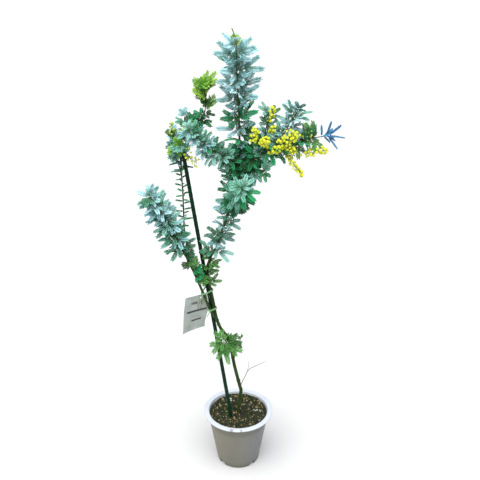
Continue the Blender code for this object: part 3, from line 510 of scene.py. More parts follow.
cane_skin = new_finish("green_cane_skin", IOR=1.46, Specular_IOR_Level=0.14)
cane_mottle = speckle(cane_skin, 130.0, 5.0)
wire_shader(
    cane_skin,
    Base_Color=ramp(cane_skin, cane_mottle, (0.35, (0.0008, 0.014, 0.006)),
                    (0.62, (0.0015, 0.026, 0.010)), (0.80, (0.006, 0.045, 0.020))),
    Roughness=ramp(cane_skin, cane_mottle, (0.3, 0.38), (0.75, 0.62)),
    Normal=bump(cane_skin, speckle(cane_skin, 1100.0, 2.0), 0.00008, 0.5),
)
cane_radii = np.full(len(cane_line), CANE_RADIUS)
cane_tube = make_piece("cane_tube", *tube(cane_line, cane_radii, CANE_SIDES, cane_nubs), cane_skin)
cap_reaches = np.array((0.0003, 0.0004, 0.0009, 0.0080, 0.0100, 0.0112, 0.0118, 0.0120))
cap_radii = np.array((0.0040, 0.0043, 0.0046, 0.0046, 0.0043, 0.0036, 0.0026, 0.0012))
cap_line = CANE_TOP + cap_reaches[:, None] * cane_along
cap = make_piece("cane_top_cap", *tube(cap_line, cap_radii, CANE_SIDES), cane_skin)
point_reaches = np.array((0.0003, 0.0020, 0.0060, 0.0110, 0.0132, 0.0140))
point_radii = np.array((0.0040, 0.0038, 0.0028, 0.0014, 0.0008, 0.0003))
point_line = CANE_FOOT - point_reaches[:, None] * cane_along
cane_tip = make_piece("cane_foot_point", *tube(point_line, point_radii, 20), cane_skin)
for piece, node in ((cane_tube, "cane"), (cap, "cane_cap"), (cane_tip, "cane_point")):
    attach(piece, "root")
    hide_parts(node)

# Trunk
# The young main stem: still green under thin ribbed bark, browner near the mix, swollen a little where
# each leaf or branch leaves it. It leans to the left, crosses in front of the cane and bends back.
STEM_STEP = 0.0035
COLLAR_SWELL, COLLAR_LENGTH = 0.45, 0.006
JOINT_SWELL, JOINT_LENGTH = 0.20, 0.0028
stems = {}

bark = new_finish("ribbed_green_bark", Specular_IOR_Level=0.16)
bark_ribs = speckle(bark, 240.0, 5.0, (1, 1, 0.16), 0.6)
bark_clouds = speckle(bark, 34.0, 4.0)
bark_rise = put(bark, "SeparateXYZ", {"Vector": put(bark, "TexCoord").outputs["Object"]}).outputs["Z"]
bark_green = ramp(bark, bark_ribs, (0.30, (0.004, 0.018, 0.002)), (0.52, (0.012, 0.040, 0.005)),
                  (0.75, (0.042, 0.085, 0.014)))
bark_brown = ramp(bark, bark_ribs, (0.32, (0.010, 0.018, 0.003)), (0.70, (0.048, 0.058, 0.013)))
bark_mixed = blend_colours(bark, ramp(bark, bark_rise, (0.12, 0.75), (0.30, 0.20), (0.60, 0.05)),
                           bark_green, bark_brown)
bark_flecks = ramp(bark, speckle(bark, 620.0, 2.0, (1, 1, 0.4)), (0.66, 0.0), (0.72, 0.55))
wire_shader(
    bark,
    Base_Color=blend_colours(bark, bark_flecks, bark_mixed, (0.16, 0.17, 0.10)),
    Roughness=ramp(bark, bark_clouds, (0.3, 0.48), (0.7, 0.74)),
    Normal=bump(bark, bark_ribs, 0.0003),
)


def smooth_line(points, step=STEM_STEP):
    """Evenly spaced points on a smooth curve through the given ones."""
    points = np.array(points, float)
    ends = np.vstack((2 * points[0] - points[1], points, 2 * points[-1] - points[-2]))
    share = np.linspace(0, 1, 16, endpoint=False)[:, None]
    fine = []
    for a, b, c, d in zip(ends, ends[1:], ends[2:], ends[3:]):
        bend = (2 * a - 5 * b + 4 * c - d) * share**2
        twist = (3 * b - a - 3 * c + d) * share**3
        fine.append(0.5 * (2 * b + (c - a) * share + bend + twist))
    fine = np.vstack((*fine, points[-1:]))
    reach = np.r_[0.0, np.cumsum(np.linalg.norm(np.diff(fine, axis=0), axis=1))]
    wanted = np.linspace(0.0, reach[-1], max(3, round(reach[-1] / step)) + 1)
    return np.column_stack([np.interp(wanted, reach, fine[:, axis]) for axis in range(3)])


def point_on(line, share):
    """The point and the direction at a share of a line's length."""
    place = min(max(share, 0.0), 1.0) * (len(line) - 1)
    index = min(int(place), len(line) - 2)
    span = line[index + 1] - line[index]
    return line[index] + span * (place - index), unit(span)


def share_at_height(name, height):
    line = stems[name]
    return int(np.argmin(abs(line[:, 2] - height))) / (len(line) - 1)


def grow_stem(name, parent, at, points, radii, finish, sides=12, joints=(), node=True):
    """A tapered, softly ribbed stem from a place on its parent, with a collar there and swollen joints.
    Its points and its two radii are in millimetres."""
    start = [] if parent is None else [point_on(stems[parent], at)[0]]
    line = smooth_line([*start, *(np.array(points) / 1000)])
    stems[name] = line
    share = np.linspace(0, 1, len(line))
    thickness = (radii[0] + (radii[1] - radii[0]) * share) / 1000
    if parent is not None and at < 1.0:
        away = share * len(line) * STEM_STEP / COLLAR_LENGTH
        thickness = thickness * (1 + COLLAR_SWELL * np.exp(-away**2))
    for joint in joints:
        away = (share - joint) * (len(line) - 1) * STEM_STEP / JOINT_LENGTH
        thickness = thickness * (1 + JOINT_SWELL * np.exp(-away**2))
    turns = math.tau * np.arange(sides) / sides
    wobble = 1 + 0.02 * np.cos(5 * turns[None, :] + 1.5 * share[:, None]) + 0.015 * np.sin(
        27 * share[:, None] + turns[None, :])
    thickness[-1] *= 0.7
    piece = make_piece(name + "_wood", *tube(line, thickness, sides, wobble), finish)
    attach(piece, "root")
    if node:
        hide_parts(name)


# One leaf of a young wattle, in its own axes: X along the stalk, Z its upper face. A stalk carries two or
# three pairs of feathers, and each feather is a rib between two rows of small waxy leaflets.
LEAFLET_OUTLINE = ((0, 0), (0.20, 0.46), (0.70, 0.50), (1, 0.05), (0.72, -0.44), (0.22, -0.48))
LEAFLET_FACES = np.array([(n, (n + 1) % 6, 6) for n in range(6)] + [((n + 1) % 6, n, 7) for n in range(6)])
LEAF_STALK = 0.012
LEAF_FEATHER = 0.028
BLADE_STALK, BLADE_LENGTH = 0.30, 1.15
FEATHER_HALF_WIDTH = 0.0052
LEAFLET_GAP = 0.00175
LEAF_TURN = math.radians(137.5)


def feather_shape(foot, heading, length, half_width, droop, cup, chance):
    """Rib and leaflets of one feather, in the leaf's axes. Heading is its angle off the stalk."""
    share = np.linspace(0, 1, 7)
    flat = np.array((math.cos(heading), math.sin(heading), 0.0))
    curl = np.sign(heading) * -0.10
    across = np.array((-flat[1], flat[0], 0.0))
    face = np.array((0.0, 0.0, 1.0))

    def rib_at(part):
        part = np.asarray(part)[..., None]
        return foot + length * (part * flat + curl * part**2 * across - droop * part**2 * face)

    points, faces = tube(rib_at(share), 0.00045 - 0.00030 * share, 4)
    parts, cells, steps = [points], [faces], [np.r_[np.repeat(share, 4), 0.0, 1.0]]
    shades = [np.zeros(len(points))]
    pairs = max(5, round(length / LEAFLET_GAP))
    for hand in (-1, 1):
        part = (np.arange(pairs) + 0.75 + 0.2 * hand) / (pairs + 0.4)
        part = np.clip(part, 0.03, 0.985)
        forward = np.radians(chance.normal(58, 4, pairs) - 36 * part**7)
        rise = cup + chance.normal(0, 0.06, pairs)
        reach = half_width * (0.62 + 0.50 * np.sin(math.pi * np.clip(0.08 + 0.78 * part, 0, 1)) ** 0.7)
        reach = reach / np.sin(np.radians(62)) * chance.normal(1, 0.05, pairs)
        width = np.full(pairs, LEAFLET_GAP * 1.12) * chance.normal(1, 0.05, pairs)
        shade = chance.normal(0, 0.07, pairs)
        slope = flat + 2 * curl * part[:, None] * across - 2 * droop * part[:, None] * face
        slope /= np.linalg.norm(slope, axis=1)[:, None]
        out = np.cross(face, slope) * hand
        out /= np.linalg.norm(out, axis=1)[:, None]
        upward = np.cross(slope, out) * hand
        out = out * np.cos(rise)[:, None] + upward * np.sin(rise)[:, None]
        axis_x = slope * np.cos(forward)[:, None] + out * np.sin(forward)[:, None]
        axis_y = slope * np.sin(forward)[:, None] - out * np.cos(forward)[:, None]
        axis_z = np.cross(axis_x, axis_y) * -hand
        foot_points = rib_at(part)
        local = [(x, y, 0.0) for x, y in LEAFLET_OUTLINE] + [(0.50, 0.0, 0.16), (0.50, 0.0, -0.16)]
        for x, y, z in local:
            sag = 0.10 * x * x
            parts.append(foot_points + axis_x * (x * reach)[:, None] + axis_y * (y * width)[:, None]
                         + axis_z * (z * width - sag * reach)[:, None])
            steps.append(part)
            shades.append(shade)
        base = sum(len(rows) for rows in parts[:-8])
        index = base + np.arange(pairs)
        order = LEAFLET_FACES if hand > 0 else LEAFLET_FACES[:, ::-1]
        cells.append((index[:, None, None] + order[None] * pairs).reshape(-1, 3))
    return np.vstack(parts), np.vstack(cells), np.concatenate(steps), np.concatenate(shades)


def leaf_shape(size, broad, pairs, droop, chance):
    """A whole leaf: points, triangles, how far out each point is, and how each leaflet's shade strays.
    A leaf of no pairs is a single blade."""
    stalk = LEAF_STALK * size * chance.uniform(0.85, 1.15) * (1.0 if pairs else BLADE_STALK)
    share = np.linspace(0, 1, 6)
    sag = 0.10 * droop
    line = np.column_stack((stalk * share, np.zeros(6), -stalk * sag * share**2))
    points, faces = tube(line, (0.00065 - 0.0002 * share) * (0.6 + 0.4 * size), 6)
    parts, cells = [points], [faces]
    steps, shades = [np.zeros(len(points))], [np.zeros(len(points))]
    blades = [(0, 1.0, 0.0)]
    if pairs:
        blades = [(hand, pair / max(1, pairs - 1), 66 - 36 * pair / max(1, pairs - 1))
                  for pair in range(pairs) for hand in (-1, 1)]
    for hand, top, spread in blades:
        place = 1.0 if not hand else 0.38 + 0.62 * top
        foot = np.array((stalk * place, 0.0, -stalk * sag * place**2))
        heading = math.radians(hand * chance.normal(spread, 5))
        length = LEAF_FEATHER * size * (0.72 + 0.30 * top) * chance.normal(1, 0.06)
        length *= 1.0 if pairs else BLADE_LENGTH
        width = FEATHER_HALF_WIDTH * broad * (0.86 + 0.14 * top)
        points, faces, step, shade = feather_shape(
            foot, heading, length, width, droop * chance.uniform(0.6, 1.3), 0.18, chance)
        cells.append(faces + sum(len(rows) for rows in parts))
        parts.append(points)
        steps.append(0.15 + 0.85 * step)
        shades.append(shade)
    return np.vstack(parts), np.vstack(cells), np.concatenate(steps), np.concatenate(shades)


# Leaves keep clear of the cane, and of the room before and behind the label, between these two corners
LABEL_ROOM = np.array(((-0.122, -0.034, 0.350), (-0.062, -0.008, 0.452)))
CANE_ROOM = 0.0052


def is_blocked(points):
    """Whether any point lies close to the cane or the label."""
    gaps = points - CANE_FOOT
    reach = np.clip(gaps @ cane_along, 0.0, cane_length + cap_reaches[-1])
    if (np.linalg.norm(gaps - reach[:, None] * cane_along, axis=1) < CANE_ROOM).any():
        return True
    return bool(((points > LABEL_ROOM[0]) & (points < LABEL_ROOM[1])).all(axis=1).any())


# How a leaf that would touch them turns aside instead, round its stem and away from it, in degrees
LEAF_TRIES = ((0, 0), (25, 0), (-25, 0), (0, 18), (50, 0), (-50, 0), (80, 10), (-80, 10), (180, 0))
# Leaves turn their faces to the light, which comes from above and in front
LIGHT_SIDE = unit(np.array((-0.15, -0.80, 0.60)))
LIGHT_PULL = 0.62


def leaf_axes(along, angle, lift, pull):
    """A leaf's three axes as rows: out along its stalk, across, and up through its face."""
    side = unit(np.cross(along, (0.0, 1.0, 0.0)))
    front = np.cross(along, side)
    around = side * math.cos(angle) + front * math.sin(angle)
    out = unit(around * math.sin(lift) + along * math.cos(lift))
    face = unit(along - out * (along @ out))
    lit = LIGHT_SIDE - out * (LIGHT_SIDE @ out)
    face = unit(face * (1 - pull) + lit * pull)
    return np.array((out, np.cross(face, out), face))


def dress_stem(name, count, first, last, size, lift, turn, finish, slot, pairs=2, droop=0.16, young=0.0,
               broad=0.85, other=None, other_share=0.0, extra=(), pull=LIGHT_PULL):
    """Sets leaves round a stem in a spiral, some in another finish. Each extra one has a share of the stem's
    length, a turn, a lift and a size, and True where it is in the other finish."""
    chance = np.random.default_rng(sum(map(ord, name)))
    line = stems[name]
    wanted = []
    for number in range(count):
        tip = number / max(1, count - 1)
        wanted.append((first + (last - first) * tip,
                       math.radians(turn) + number * LEAF_TURN + chance.normal(0, 0.15),
                       math.radians(lift - 14 * tip) + chance.normal(0, 0.10),
                       size * (1 - young * tip) * chance.uniform(0.90, 1.08),
                       chance.random() < other_share))
    wanted += [(share, math.radians(angle), math.radians(rise), scale, bool(odd))
               for share, angle, rise, scale, *odd in extra]
    parts, cells, tones, steps, kinds = [], [], [], [], []
    total = 0
    for share, angle, rise, scale, odd in wanted:
        foot, along = point_on(line, share)
        shape, faces, step, shade = leaf_shape(scale, broad, pairs, droop, chance)
        for swing, more in LEAF_TRIES:
            axes = leaf_axes(along, angle + math.radians(swing), rise + math.radians(more), pull)
            placed = foot + shape @ axes
            if not is_blocked(placed[len(placed) // 40:]):
                break
        parts.append(placed)
        cells.append(faces + total)
        tones.append(np.clip(chance.beta(1.15, 1.15) + shade, 0, 1))
        steps.append(step)
        kinds.append(np.full(len(faces), int(odd)))
        total += len(shape)
    piece = make_piece(name + "_leaves", np.vstack(parts), np.vstack(cells), finish,
                       {"tone": np.concatenate(tones), "reach": np.concatenate(steps)})
    if other is not None:
        piece.data.materials.append(other)
        piece.data.polygons.foreach_set("material_index", np.concatenate(kinds))
    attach(piece, "root")


def leaf_finish(name, deep, middle, bloom, stalk, bloom_share=0.5):
    """Waxy leaflets: deep to pale by each leaf's own tone, with a bloom that lies in patches, and the
    stalk's colour near the leaf's foot, partly a painted shade.
    """
    made = new_finish(name, Specular_IOR_Level=0.22, Sheen_Weight=0.04, Sheen_Roughness=0.6)
    tone = put(made, "Attribute", attribute_name="tone").outputs["Fac"]
    reach = put(made, "Attribute", attribute_name="reach").outputs["Fac"]
    patches = speckle(made, 95.0, 3.0)
    grain = speckle(made, 1300.0, 3.0)
    flesh = ramp(made, tone, (0.0, deep), (0.55, middle), (1.0, bloom))
    bloomed = blend_colours(made, ramp(made, patches, (0.42, 0.0), (0.66, bloom_share)), flesh, bloom)
    mottled = blend_colours(made, ramp(made, grain, (0.50, 0.0), (0.72, 0.35)), bloomed, deep)
    wire_shader(
        made,
        # Partly painted shade: leaflets near the leaf's foot, by the stem, blend towards the dark stalk
        # colour.
        Base_Color=blend_colours(made, ramp(made, reach, (0.05, 1.0), (0.26, 0.62), (0.60, 0.0)),
                                 mottled, stalk),
        Roughness=ramp(made, patches, (0.3, 0.42), (0.7, 0.66)),
        Normal=bump(made, grain, 0.00012, 0.7),
    )
    return made


silver_leaf = leaf_finish("silver_blue_leaflets", (0.028, 0.160, 0.105), (0.232, 0.505, 0.515),
                          (0.515, 0.815, 0.890), (0.025, 0.090, 0.035))
grey_green_leaf = leaf_finish("silver_green_leaflets", (0.008, 0.105, 0.030), (0.078, 0.340, 0.190),
                              (0.330, 0.640, 0.590), (0.030, 0.090, 0.025))
# The deep green finish is partly the plant's darker foliage and partly painted shade, for leaves that lie in
# shadow under and behind the others.
deep_green_and_shade_leaf = leaf_finish("deep_green_and_shade_leaflets", (0.002, 0.046, 0.008), (0.005, 0.160, 0.045),
                              (0.022, 0.350, 0.132), (0.012, 0.060, 0.010), bloom_share=0.25)
fresh_green_leaf = leaf_finish("fresh_green_leaflets", (0.010, 0.075, 0.008), (0.045, 0.200, 0.028),
                               (0.140, 0.370, 0.090), (0.040, 0.120, 0.016), bloom_share=0.3)
lime_leaf = leaf_finish("lime_leaflets", (0.018, 0.140, 0.004), (0.155, 0.420, 0.024),
                        (0.440, 0.700, 0.090), (0.050, 0.180, 0.010), bloom_share=0.4)
bud_leaf = leaf_finish("pale_bud_leaflets", (0.150, 0.300, 0.040), (0.330, 0.510, 0.110),
                       (0.560, 0.740, 0.330), (0.170, 0.230, 0.030))
blue_leaf = leaf_finish("blue_leaflets", (0.003, 0.070, 0.210), (0.014, 0.170, 0.370),
                        (0.140, 0.430, 0.560), (0.004, 0.090, 0.260))

grow_stem("trunk", None, 0, ((-4, 4, 60), (-1, 2, 117), (6, 0, 181), (3, 0, 200), (-8, -4, 255),
          (-17, -8, 314), (-26, -10, 340), (-39, -12, 363), (-47, -12.5, 391), (-52.5, -9, 425),
          (-60, -5.5, 465), (-64.5, -3.5, 500), (-56, -2, 530)), (4.2, 2.8), bark, 16,
          (0.32, 0.46, 0.58, 0.66, 0.87, 0.91, 0.95, 0.99))
dress_stem("trunk", 7, 0.865, 0.99, 0.66, 70, 200, fresh_green_leaf, "young_bark", broad=0.8)

# Upper stem and leader
# The main stem goes on above the bend as a straight, upright leader, green and thin. Its leaves, silver
# but for a dark green stretch half-way, stand out level low down and rise towards the tip, where the
# newest ones are folded and yellow-green.
EVEN_JOINTS = (0.1, 0.3, 0.5, 0.7, 0.9)


def grained_finish(name, noise, colours, roughness, depth=0.0, **sockets):
    """A finish whose one noise, with its scale, detail and stretch, moves colour, roughness and bump."""
    made = new_finish(name, **sockets)
    grain = speckle(made, *noise)
    wire_shader(made, Base_Color=ramp(made, grain, *colours), Roughness=ramp(made, grain, *roughness))
    if depth:
        wire_shader(made, Normal=bump(made, grain, depth))
    return made


twig_bark = grained_finish(
    "thin_green_twig", (320.0, 4.0, (1, 1, 0.2)),
    ((0.30, (0.012, 0.034, 0.010)), (0.55, (0.030, 0.070, 0.022)), (0.78, (0.095, 0.150, 0.060))),
    ((0.3, 0.45), (0.7, 0.70)), 0.0003, Specular_IOR_Level=0.2)


def grow_shoot(name, parent, at, points, radii, slot, leaves, finish, sides=10, joints=(), **dressing):
    """A thin twig and the leaves round it: their number, first and last share, size, lift and turn."""
    grow_stem(name, parent, at, points, radii, twig_bark, sides, joints)
    dress_stem(name, *leaves, finish, slot, **dressing)


grow_shoot("upper_stem", "trunk", 1, ((-43, -2, 556), (-33, -2, 589), (-22, -2, 620), (-14, -2, 654)),
           (2.8, 2.4), "silver_leaf", (15, 0.1, 0.95, 0.84, 82, 15), grey_green_leaf, sides=12,
           joints=EVEN_JOINTS, droop=0.14, broad=0.95, other=silver_leaf, other_share=0.45)
grow_shoot("leader_base", "upper_stem", 1, ((-4, 2, 700), (2, 5, 735), (4, 6, 756)), (2.4, 2.2),
           "green_leaf", (14, 0.06, 0.96, 0.86, 76, 100), deep_green_and_shade_leaf, sides=12,
           joints=EVEN_JOINTS, broad=0.95, other=grey_green_leaf, other_share=0.3)
grow_shoot("leader_middle", "leader_base", 1, ((3, 8, 790), (2, 8, 825), (0, 8, 863)), (2.2, 1.8),
           "silver_leaf", (11, 0.26, 0.96, 1, 72, 60), silver_leaf, sides=12,
           joints=(0.12, 0.35, 0.55, 0.75, 0.95), droop=0.12, broad=1.05, other=deep_green_and_shade_leaf,
           other_share=0.3, pull=0.75,
           extra=((0.05, 200, 80, 0.55, True), (0.1, 20, 80, 0.5, True), (0.18, 120, 84, 0.5)))
grow_shoot("leader_tip", "leader_middle", 1, ((-1, 8, 890), (-2, 8, 930), (-3, 7, 970)), (1.8, 0.9),
           "silver_leaf", (16, 0.03, 0.96, 1.16, 66, 150), silver_leaf,
           joints=(0.06, 0.25, 0.45, 0.65, 0.85), droop=0.1, young=0.12, broad=1.25, other=grey_green_leaf,
           other_share=0.12, pull=0.85)
bud_stalk = grained_finish(
    "olive_bud_stalk", (420.0, 4.0, (1, 1, 0.3)),
    ((0.30, (0.070, 0.110, 0.012)), (0.70, (0.230, 0.270, 0.050))), ((0.3, 0.5), (0.7, 0.75)),
    Specular_IOR_Level=0.2)
grow_stem("leader_bud", "leader_tip", 1, ((-3.5, 7, 978), (-6.8, 7, 989), (-11.2, 7, 1001)), (1.3, 1.2),
          bud_stalk, 8, node=False)
dress_stem("leader_bud", 5, 0, 0.3, 0.34, 46, 160, bud_leaf, "silver_leaf", droop=-0.1, young=0.2,
           broad=0.6, other=silver_leaf, other_share=0.3)

# Left branch and its shoots
# A branch that leaves the trunk at the ties and runs up to the left. It is bare up to the label's height,
# then carries small green leaves, and ends in two crowded silver-green shoots that hang outwards.
grow_stem("left_branch", "trunk", share_at_height("trunk", 0.381), ((-59, -18, 411), (-73, -20.5, 453),
          (-85, -22, 488), (-100, -26, 530), (-113, -32, 563)), (2.9, 2.2), bark, 14,
          (0.55, 0.65, 0.74, 0.83, 0.92))
dress_stem("left_branch", 3, 0.6, 0.97, 0.44, 74, 210, fresh_green_leaf, "green_leaf", broad=0.95,
           other=deep_green_and_shade_leaf, other_share=0.4,
           extra=((0.57, 170, 90, 0.5), (0.62, 140, 80, 0.46, True), (0.66, 195, 70, 0.5),
                  (0.71, 160, 84, 0.52, True), (0.77, 185, 76, 0.5), (0.83, 150, 80, 0.52),
                  (0.89, 180, 74, 0.5, True), (0.95, 200, 70, 0.5, True)))
grow_shoot("left_shoot", "left_branch", 1, ((-121, -36, 583), (-132, -41, 612), (-144, -47, 638)),
           (2.1, 1.7), "silver_leaf", (20, 0.02, 0.97, 0.84, 76, 20), grey_green_leaf, sides=12,
           joints=EVEN_JOINTS, droop=0.18, broad=0.95, other=silver_leaf, other_share=0.25)
grow_shoot("left_tip", "left_shoot", 1, ((-153, -51, 657), (-162, -56, 676), (-171, -60, 692)), (1.6, 0.9),
           "silver_leaf", (15, 0.03, 1, 0.84, 70, 75), grey_green_leaf, joints=(0.1, 0.4, 0.7), droop=0.18,
           young=0.15, broad=0.95, other=silver_leaf, other_share=0.7)

# Rear branch and the crown beside the cane's top
# A thin branch that climbs close behind the cane with a ladder of small narrow leaves, then splits into
# three short shoots round the cap: silver-green and lime in front, silver to the left and behind.
grow_shoot("rear_branch", "left_branch", 0.8, ((-104, -10, 556), (-110, 10, 590), (-111, 20, 630),
           (-112, 26, 670), (-115, 33, 733)), (1.7, 1.4), "green_leaf", (34, 0.34, 0.97, 0.42, 84, 0),
           deep_green_and_shade_leaf, joints=(0.42, 0.52, 0.62, 0.72, 0.82, 0.92), pairs=0, droop=0.05, broad=0.45,
           other=grey_green_leaf, other_share=0.25,
           extra=((0.97, 10, 100, 0.62), (0.93, 185, 100, 0.62), (0.88, 350, 92, 0.55, True),
                  (0.92, 100, 95, 0.6)))
grow_shoot("crown_front_shoot", "rear_branch", 1, ((-119, 20, 752), (-117, 4, 768), (-112, -10, 778)),
           (1.4, 0.8), "young_leaf", (14, 0.3, 1, 0.48, 74, 120), grey_green_leaf, droop=0.18, young=0.1,
           other=lime_leaf, other_share=0.35)
grow_shoot("crown_left_shoot", "rear_branch", 0.84, ((-121, 31, 732), (-127, 26, 765), (-128, 22, 795)),
           (1.3, 0.8), "silver_leaf", (13, 0.42, 1, 0.41, 62, 40), silver_leaf, droop=0.18, young=0.15,
           other=fresh_green_leaf, other_share=0.45)
grow_shoot("crown_rear_shoot", "rear_branch", 0.9, ((-111, 44, 765), (-107, 48, 792), (-105, 47, 816)),
           (1.4, 0.9), "silver_leaf", (13, 0.12, 1, 0.56, 66, 80), silver_leaf, young=0.1,
           other=grey_green_leaf, other_share=0.3)

# Lime shoot
# New growth that leaves the crown on a thin stalk: dark green leaves at its foot, and above them soft
# folded ones, still lime green, that curl upwards.
grow_shoot("lime_stem", "crown_rear_shoot", 0.55, ((-92, 41, 800), (-75, 35, 812), (-64, 32, 832)),
           (1.3, 1.1), "green_leaf", (12, 0.34, 0.9, 0.56, 80, 150), deep_green_and_shade_leaf, droop=0.14, broad=0.8)
grow_shoot("lime_tip", "lime_stem", 1, ((-62, 32, 852), (-64, 31, 870), (-70, 30, 886)), (1.1, 0.7),
           "young_leaf", (0, 0, 1, 0, 0, 0), lime_leaf, droop=-0.22, broad=1.35, other=fresh_green_leaf,
           extra=((1, 180, 88, 0.86), (1, 166, 70, 0.66), (0.95, 200, 100, 0.62), (1, 10, 52, 0.42),
                  (0.95, 350, 26, 0.34), (0.6, 0, 50, 0.7), (0.55, 20, 40, 0.52), (0.48, 350, 66, 0.44),
                  (0.7, 90, 38, 0.46, True), (0.75, 200, 60, 0.46), (0.16, 176, 50, 0.62),
                  (0.22, 150, 40, 0.48, True), (0.26, 10, 38, 0.38, True)))
grow_stem("bare_stalk", "lime_stem", 0.3, ((-66, 29, 801), (-34.9, 22, 803.5)), (0.6, 0.3), twig_bark,
          6, node=False)

# Cross branch
# A side branch from the leader that runs back to the left, in front of the lime shoot, and fills the gap
# between the leader and the crown with crowded silver-green leaves.
grow_shoot("cross_branch", "leader_base", 0.72, ((-16, -8, 748), (-38, -16, 762), (-55, -22, 778)),
           (1.8, 1.5), "silver_leaf", (17, 0.14, 0.97, 0.76, 74, 60), grey_green_leaf, sides=12, droop=0.2,
           other=deep_green_and_shade_leaf, other_share=0.3)
grow_shoot("cross_tip", "cross_branch", 1, ((-66, -26, 790), (-79, -30, 804), (-93, -32, 818)), (1.4, 0.8),
           "silver_leaf", (16, 0.04, 1, 0.66, 68, 10), grey_green_leaf, droop=0.18, young=0.1,
           other=silver_leaf, other_share=0.45)

# Front and rear shoots of the leader
# Two short shoots low on the leader. The front one ends in a silver-green rosette that faces forwards,
# with a few dark leaves under it, and the rear one fills the back with deep green leaves.
grow_shoot("front_shoot", "upper_stem", 0.93, ((-6, -20, 672), (2, -42, 694), (8, -62, 712)), (1.8, 0.9),
           "silver_leaf", (14, 0.2, 1, 0.8, 78, 35), grey_green_leaf, droop=0.2, young=0.2, broad=0.95,
           other=deep_green_and_shade_leaf, pull=0.5,
           extra=((0.45, 120, 98, 0.9, True), (0.55, 150, 96, 0.95, True), (0.4, 178, 92, 0.9, True),
                  (0.7, 140, 84, 0.8, True), (0.3, 60, 95, 0.8, True), (0.62, 95, 92, 0.8),
                  (0.85, 172, 80, 0.92, True), (0.8, 142, 92, 0.86, True), (0.2, 132, 110, 0.84, True)))
grow_shoot("rear_shoot", "leader_base", 0.25, ((6, 24, 712), (22, 44, 738), (34, 58, 770)), (1.7, 0.9),
           "green_leaf", (19, 0.15, 1, 0.88, 72, 0), deep_green_and_shade_leaf, droop=0.18, young=0.1,
           other=grey_green_leaf, other_share=0.25)
grow_shoot("hanging_shoot", "leader_base", 0.35, ((16, -12, 722), (34, -22, 730), (50, -30, 734)),
           (1.4, 0.9), "green_leaf", (13, 0.14, 1, 0.7, 76, 140), deep_green_and_shade_leaf, droop=0.22, young=0.1,
           other=grey_green_leaf, other_share=0.2)

# Flower branch
# The longest side branch, which reaches out to the right, with the flowers along it. Its leaves are dark
# green near the leader, silver on the upright side shoot, and blue on the far tip.
grow_shoot("flower_branch", "leader_base", 0.55, ((16, -2, 737), (34, -9, 752), (58, -16, 770),
           (82, -21, 781)), (1.9, 1.6), "green_leaf", (22, 0.1, 0.96, 0.8, 76, 90), deep_green_and_shade_leaf,
           sides=12, joints=(0.2, 0.4, 0.6, 0.8), droop=0.18, broad=0.95, other=grey_green_leaf,
           other_share=0.25)
grow_shoot("flower_branch_outer", "flower_branch", 1, ((100, -23, 787), (120, -25, 792), (142, -26, 800)),
           (1.5, 1.2), "young_leaf", (9, 0.12, 0.92, 0.72, 70, 120), fresh_green_leaf, broad=1.1,
           other=deep_green_and_shade_leaf, other_share=0.35,
           extra=((0.98, 350, 78, 0.7), (0.99, 20, 66, 0.62, True), (0.9, 30, 84, 0.6, True)))
grow_shoot("flower_branch_tip", "flower_branch_outer", 1, ((152, -26, 801), (161, -25, 802),
           (170, -24, 803)), (1.2, 0.7), "silver_leaf", (4, 0.6, 1, 0.55, 60, 60), blue_leaf, pairs=0,
           droop=0.08, broad=0.55,
           extra=((0.6, 0, 84, 0.7), (0.9, 10, 66, 0.76), (1, 0, 30, 0.88), (1, 150, 12, 0.88),
                  (1, 170, 58, 0.94), (0.1, 180, 88, 0.64), (0.9, 90, 50, 0.5), (0.8, 270, 60, 0.55)))
grow_shoot("silver_side_shoot", "flower_branch", 0.88, ((88, -10, 802), (102, 0, 822), (114, 6, 842)),
           (1.4, 0.8), "silver_leaf", (17, 0.08, 1, 0.88, 66, 25), silver_leaf, young=0.1,
           other=grey_green_leaf, other_share=0.4)
grow_shoot("pale_side_shoot", "flower_branch", 0.5, ((50, -4, 790), (55, 0, 815), (59, 2, 838)), (1.3, 0.8),
           "young_leaf", (11, 0.12, 1, 0.64, 56, 65), grey_green_leaf, droop=0.1, other=fresh_green_leaf,
           other_share=0.5)

# Low shoots
# Two tufts of fresh green leaves that sprout from the bare trunk a third of the way up.
grow_shoot("low_shoot_front", "trunk", share_at_height("trunk", 0.318), ((-26, -22, 328), (-32, -34, 340)),
           (1.3, 0.8), "young_leaf", (0, 0, 1, 0, 0, 0), fresh_green_leaf, droop=0.24, broad=1.15,
           extra=((1, 275, 74, 0.62), (0.9, 5, 86, 0.74), (0.2, 222, 84, 0.5), (0.05, 166, 88, 0.64),
                  (0.1, 96, 98, 0.76), (0.6, 50, 106, 1.08), (0.8, 75, 96, 0.66)))
grow_shoot("low_shoot_rear", "trunk", share_at_height("trunk", 0.290), ((-2, 4, 302), (6, 12, 318)),
           (1.3, 0.8), "green_leaf", (0, 0, 1, 0, 0, 0), fresh_green_leaf, pairs=1, droop=0.2, broad=0.9,
           extra=((0.15, 175, 90, 0.4), (0.6, 176, 60, 0.38), (1, 20, 40, 0.3), (0.3, 320, 85, 0.45)))

# Dead twig
# A bare side twig, dried to grey-brown, that leaves the trunk just above the pot and forks once.
dry_wood = grained_finish(
    "dry_grey_wood", (500.0, 4.0, (0.3, 1, 0.3)),
    ((0.3, (0.10, 0.085, 0.05)), (0.7, (0.30, 0.27, 0.18))), ((0.3, 0.7), (0.7, 0.95)), 0.0003,
    Specular_IOR_Level=0.2)
grow_stem("dead_twig", "trunk", share_at_height("trunk", 0.197), ((14, -1, 222), (24, -2, 244),
          (40, -4, 256), (60, -6, 269)), (1, 0.5), dry_wood, 8, (0.4, 0.7))
spur_foot = point_on(stems["dead_twig"], 0.46)[0]
spur_line = smooth_line([spur_foot, (0.023, -0.002, 0.256), (0.0225, -0.003, 0.268)], 0.003)
spur_radii = np.linspace(0.0006, 0.0003, len(spur_line))
spur = make_piece("dead_twig_spur", *tube(spur_line, spur_radii, 6), dry_wood)
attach(spur, "root")

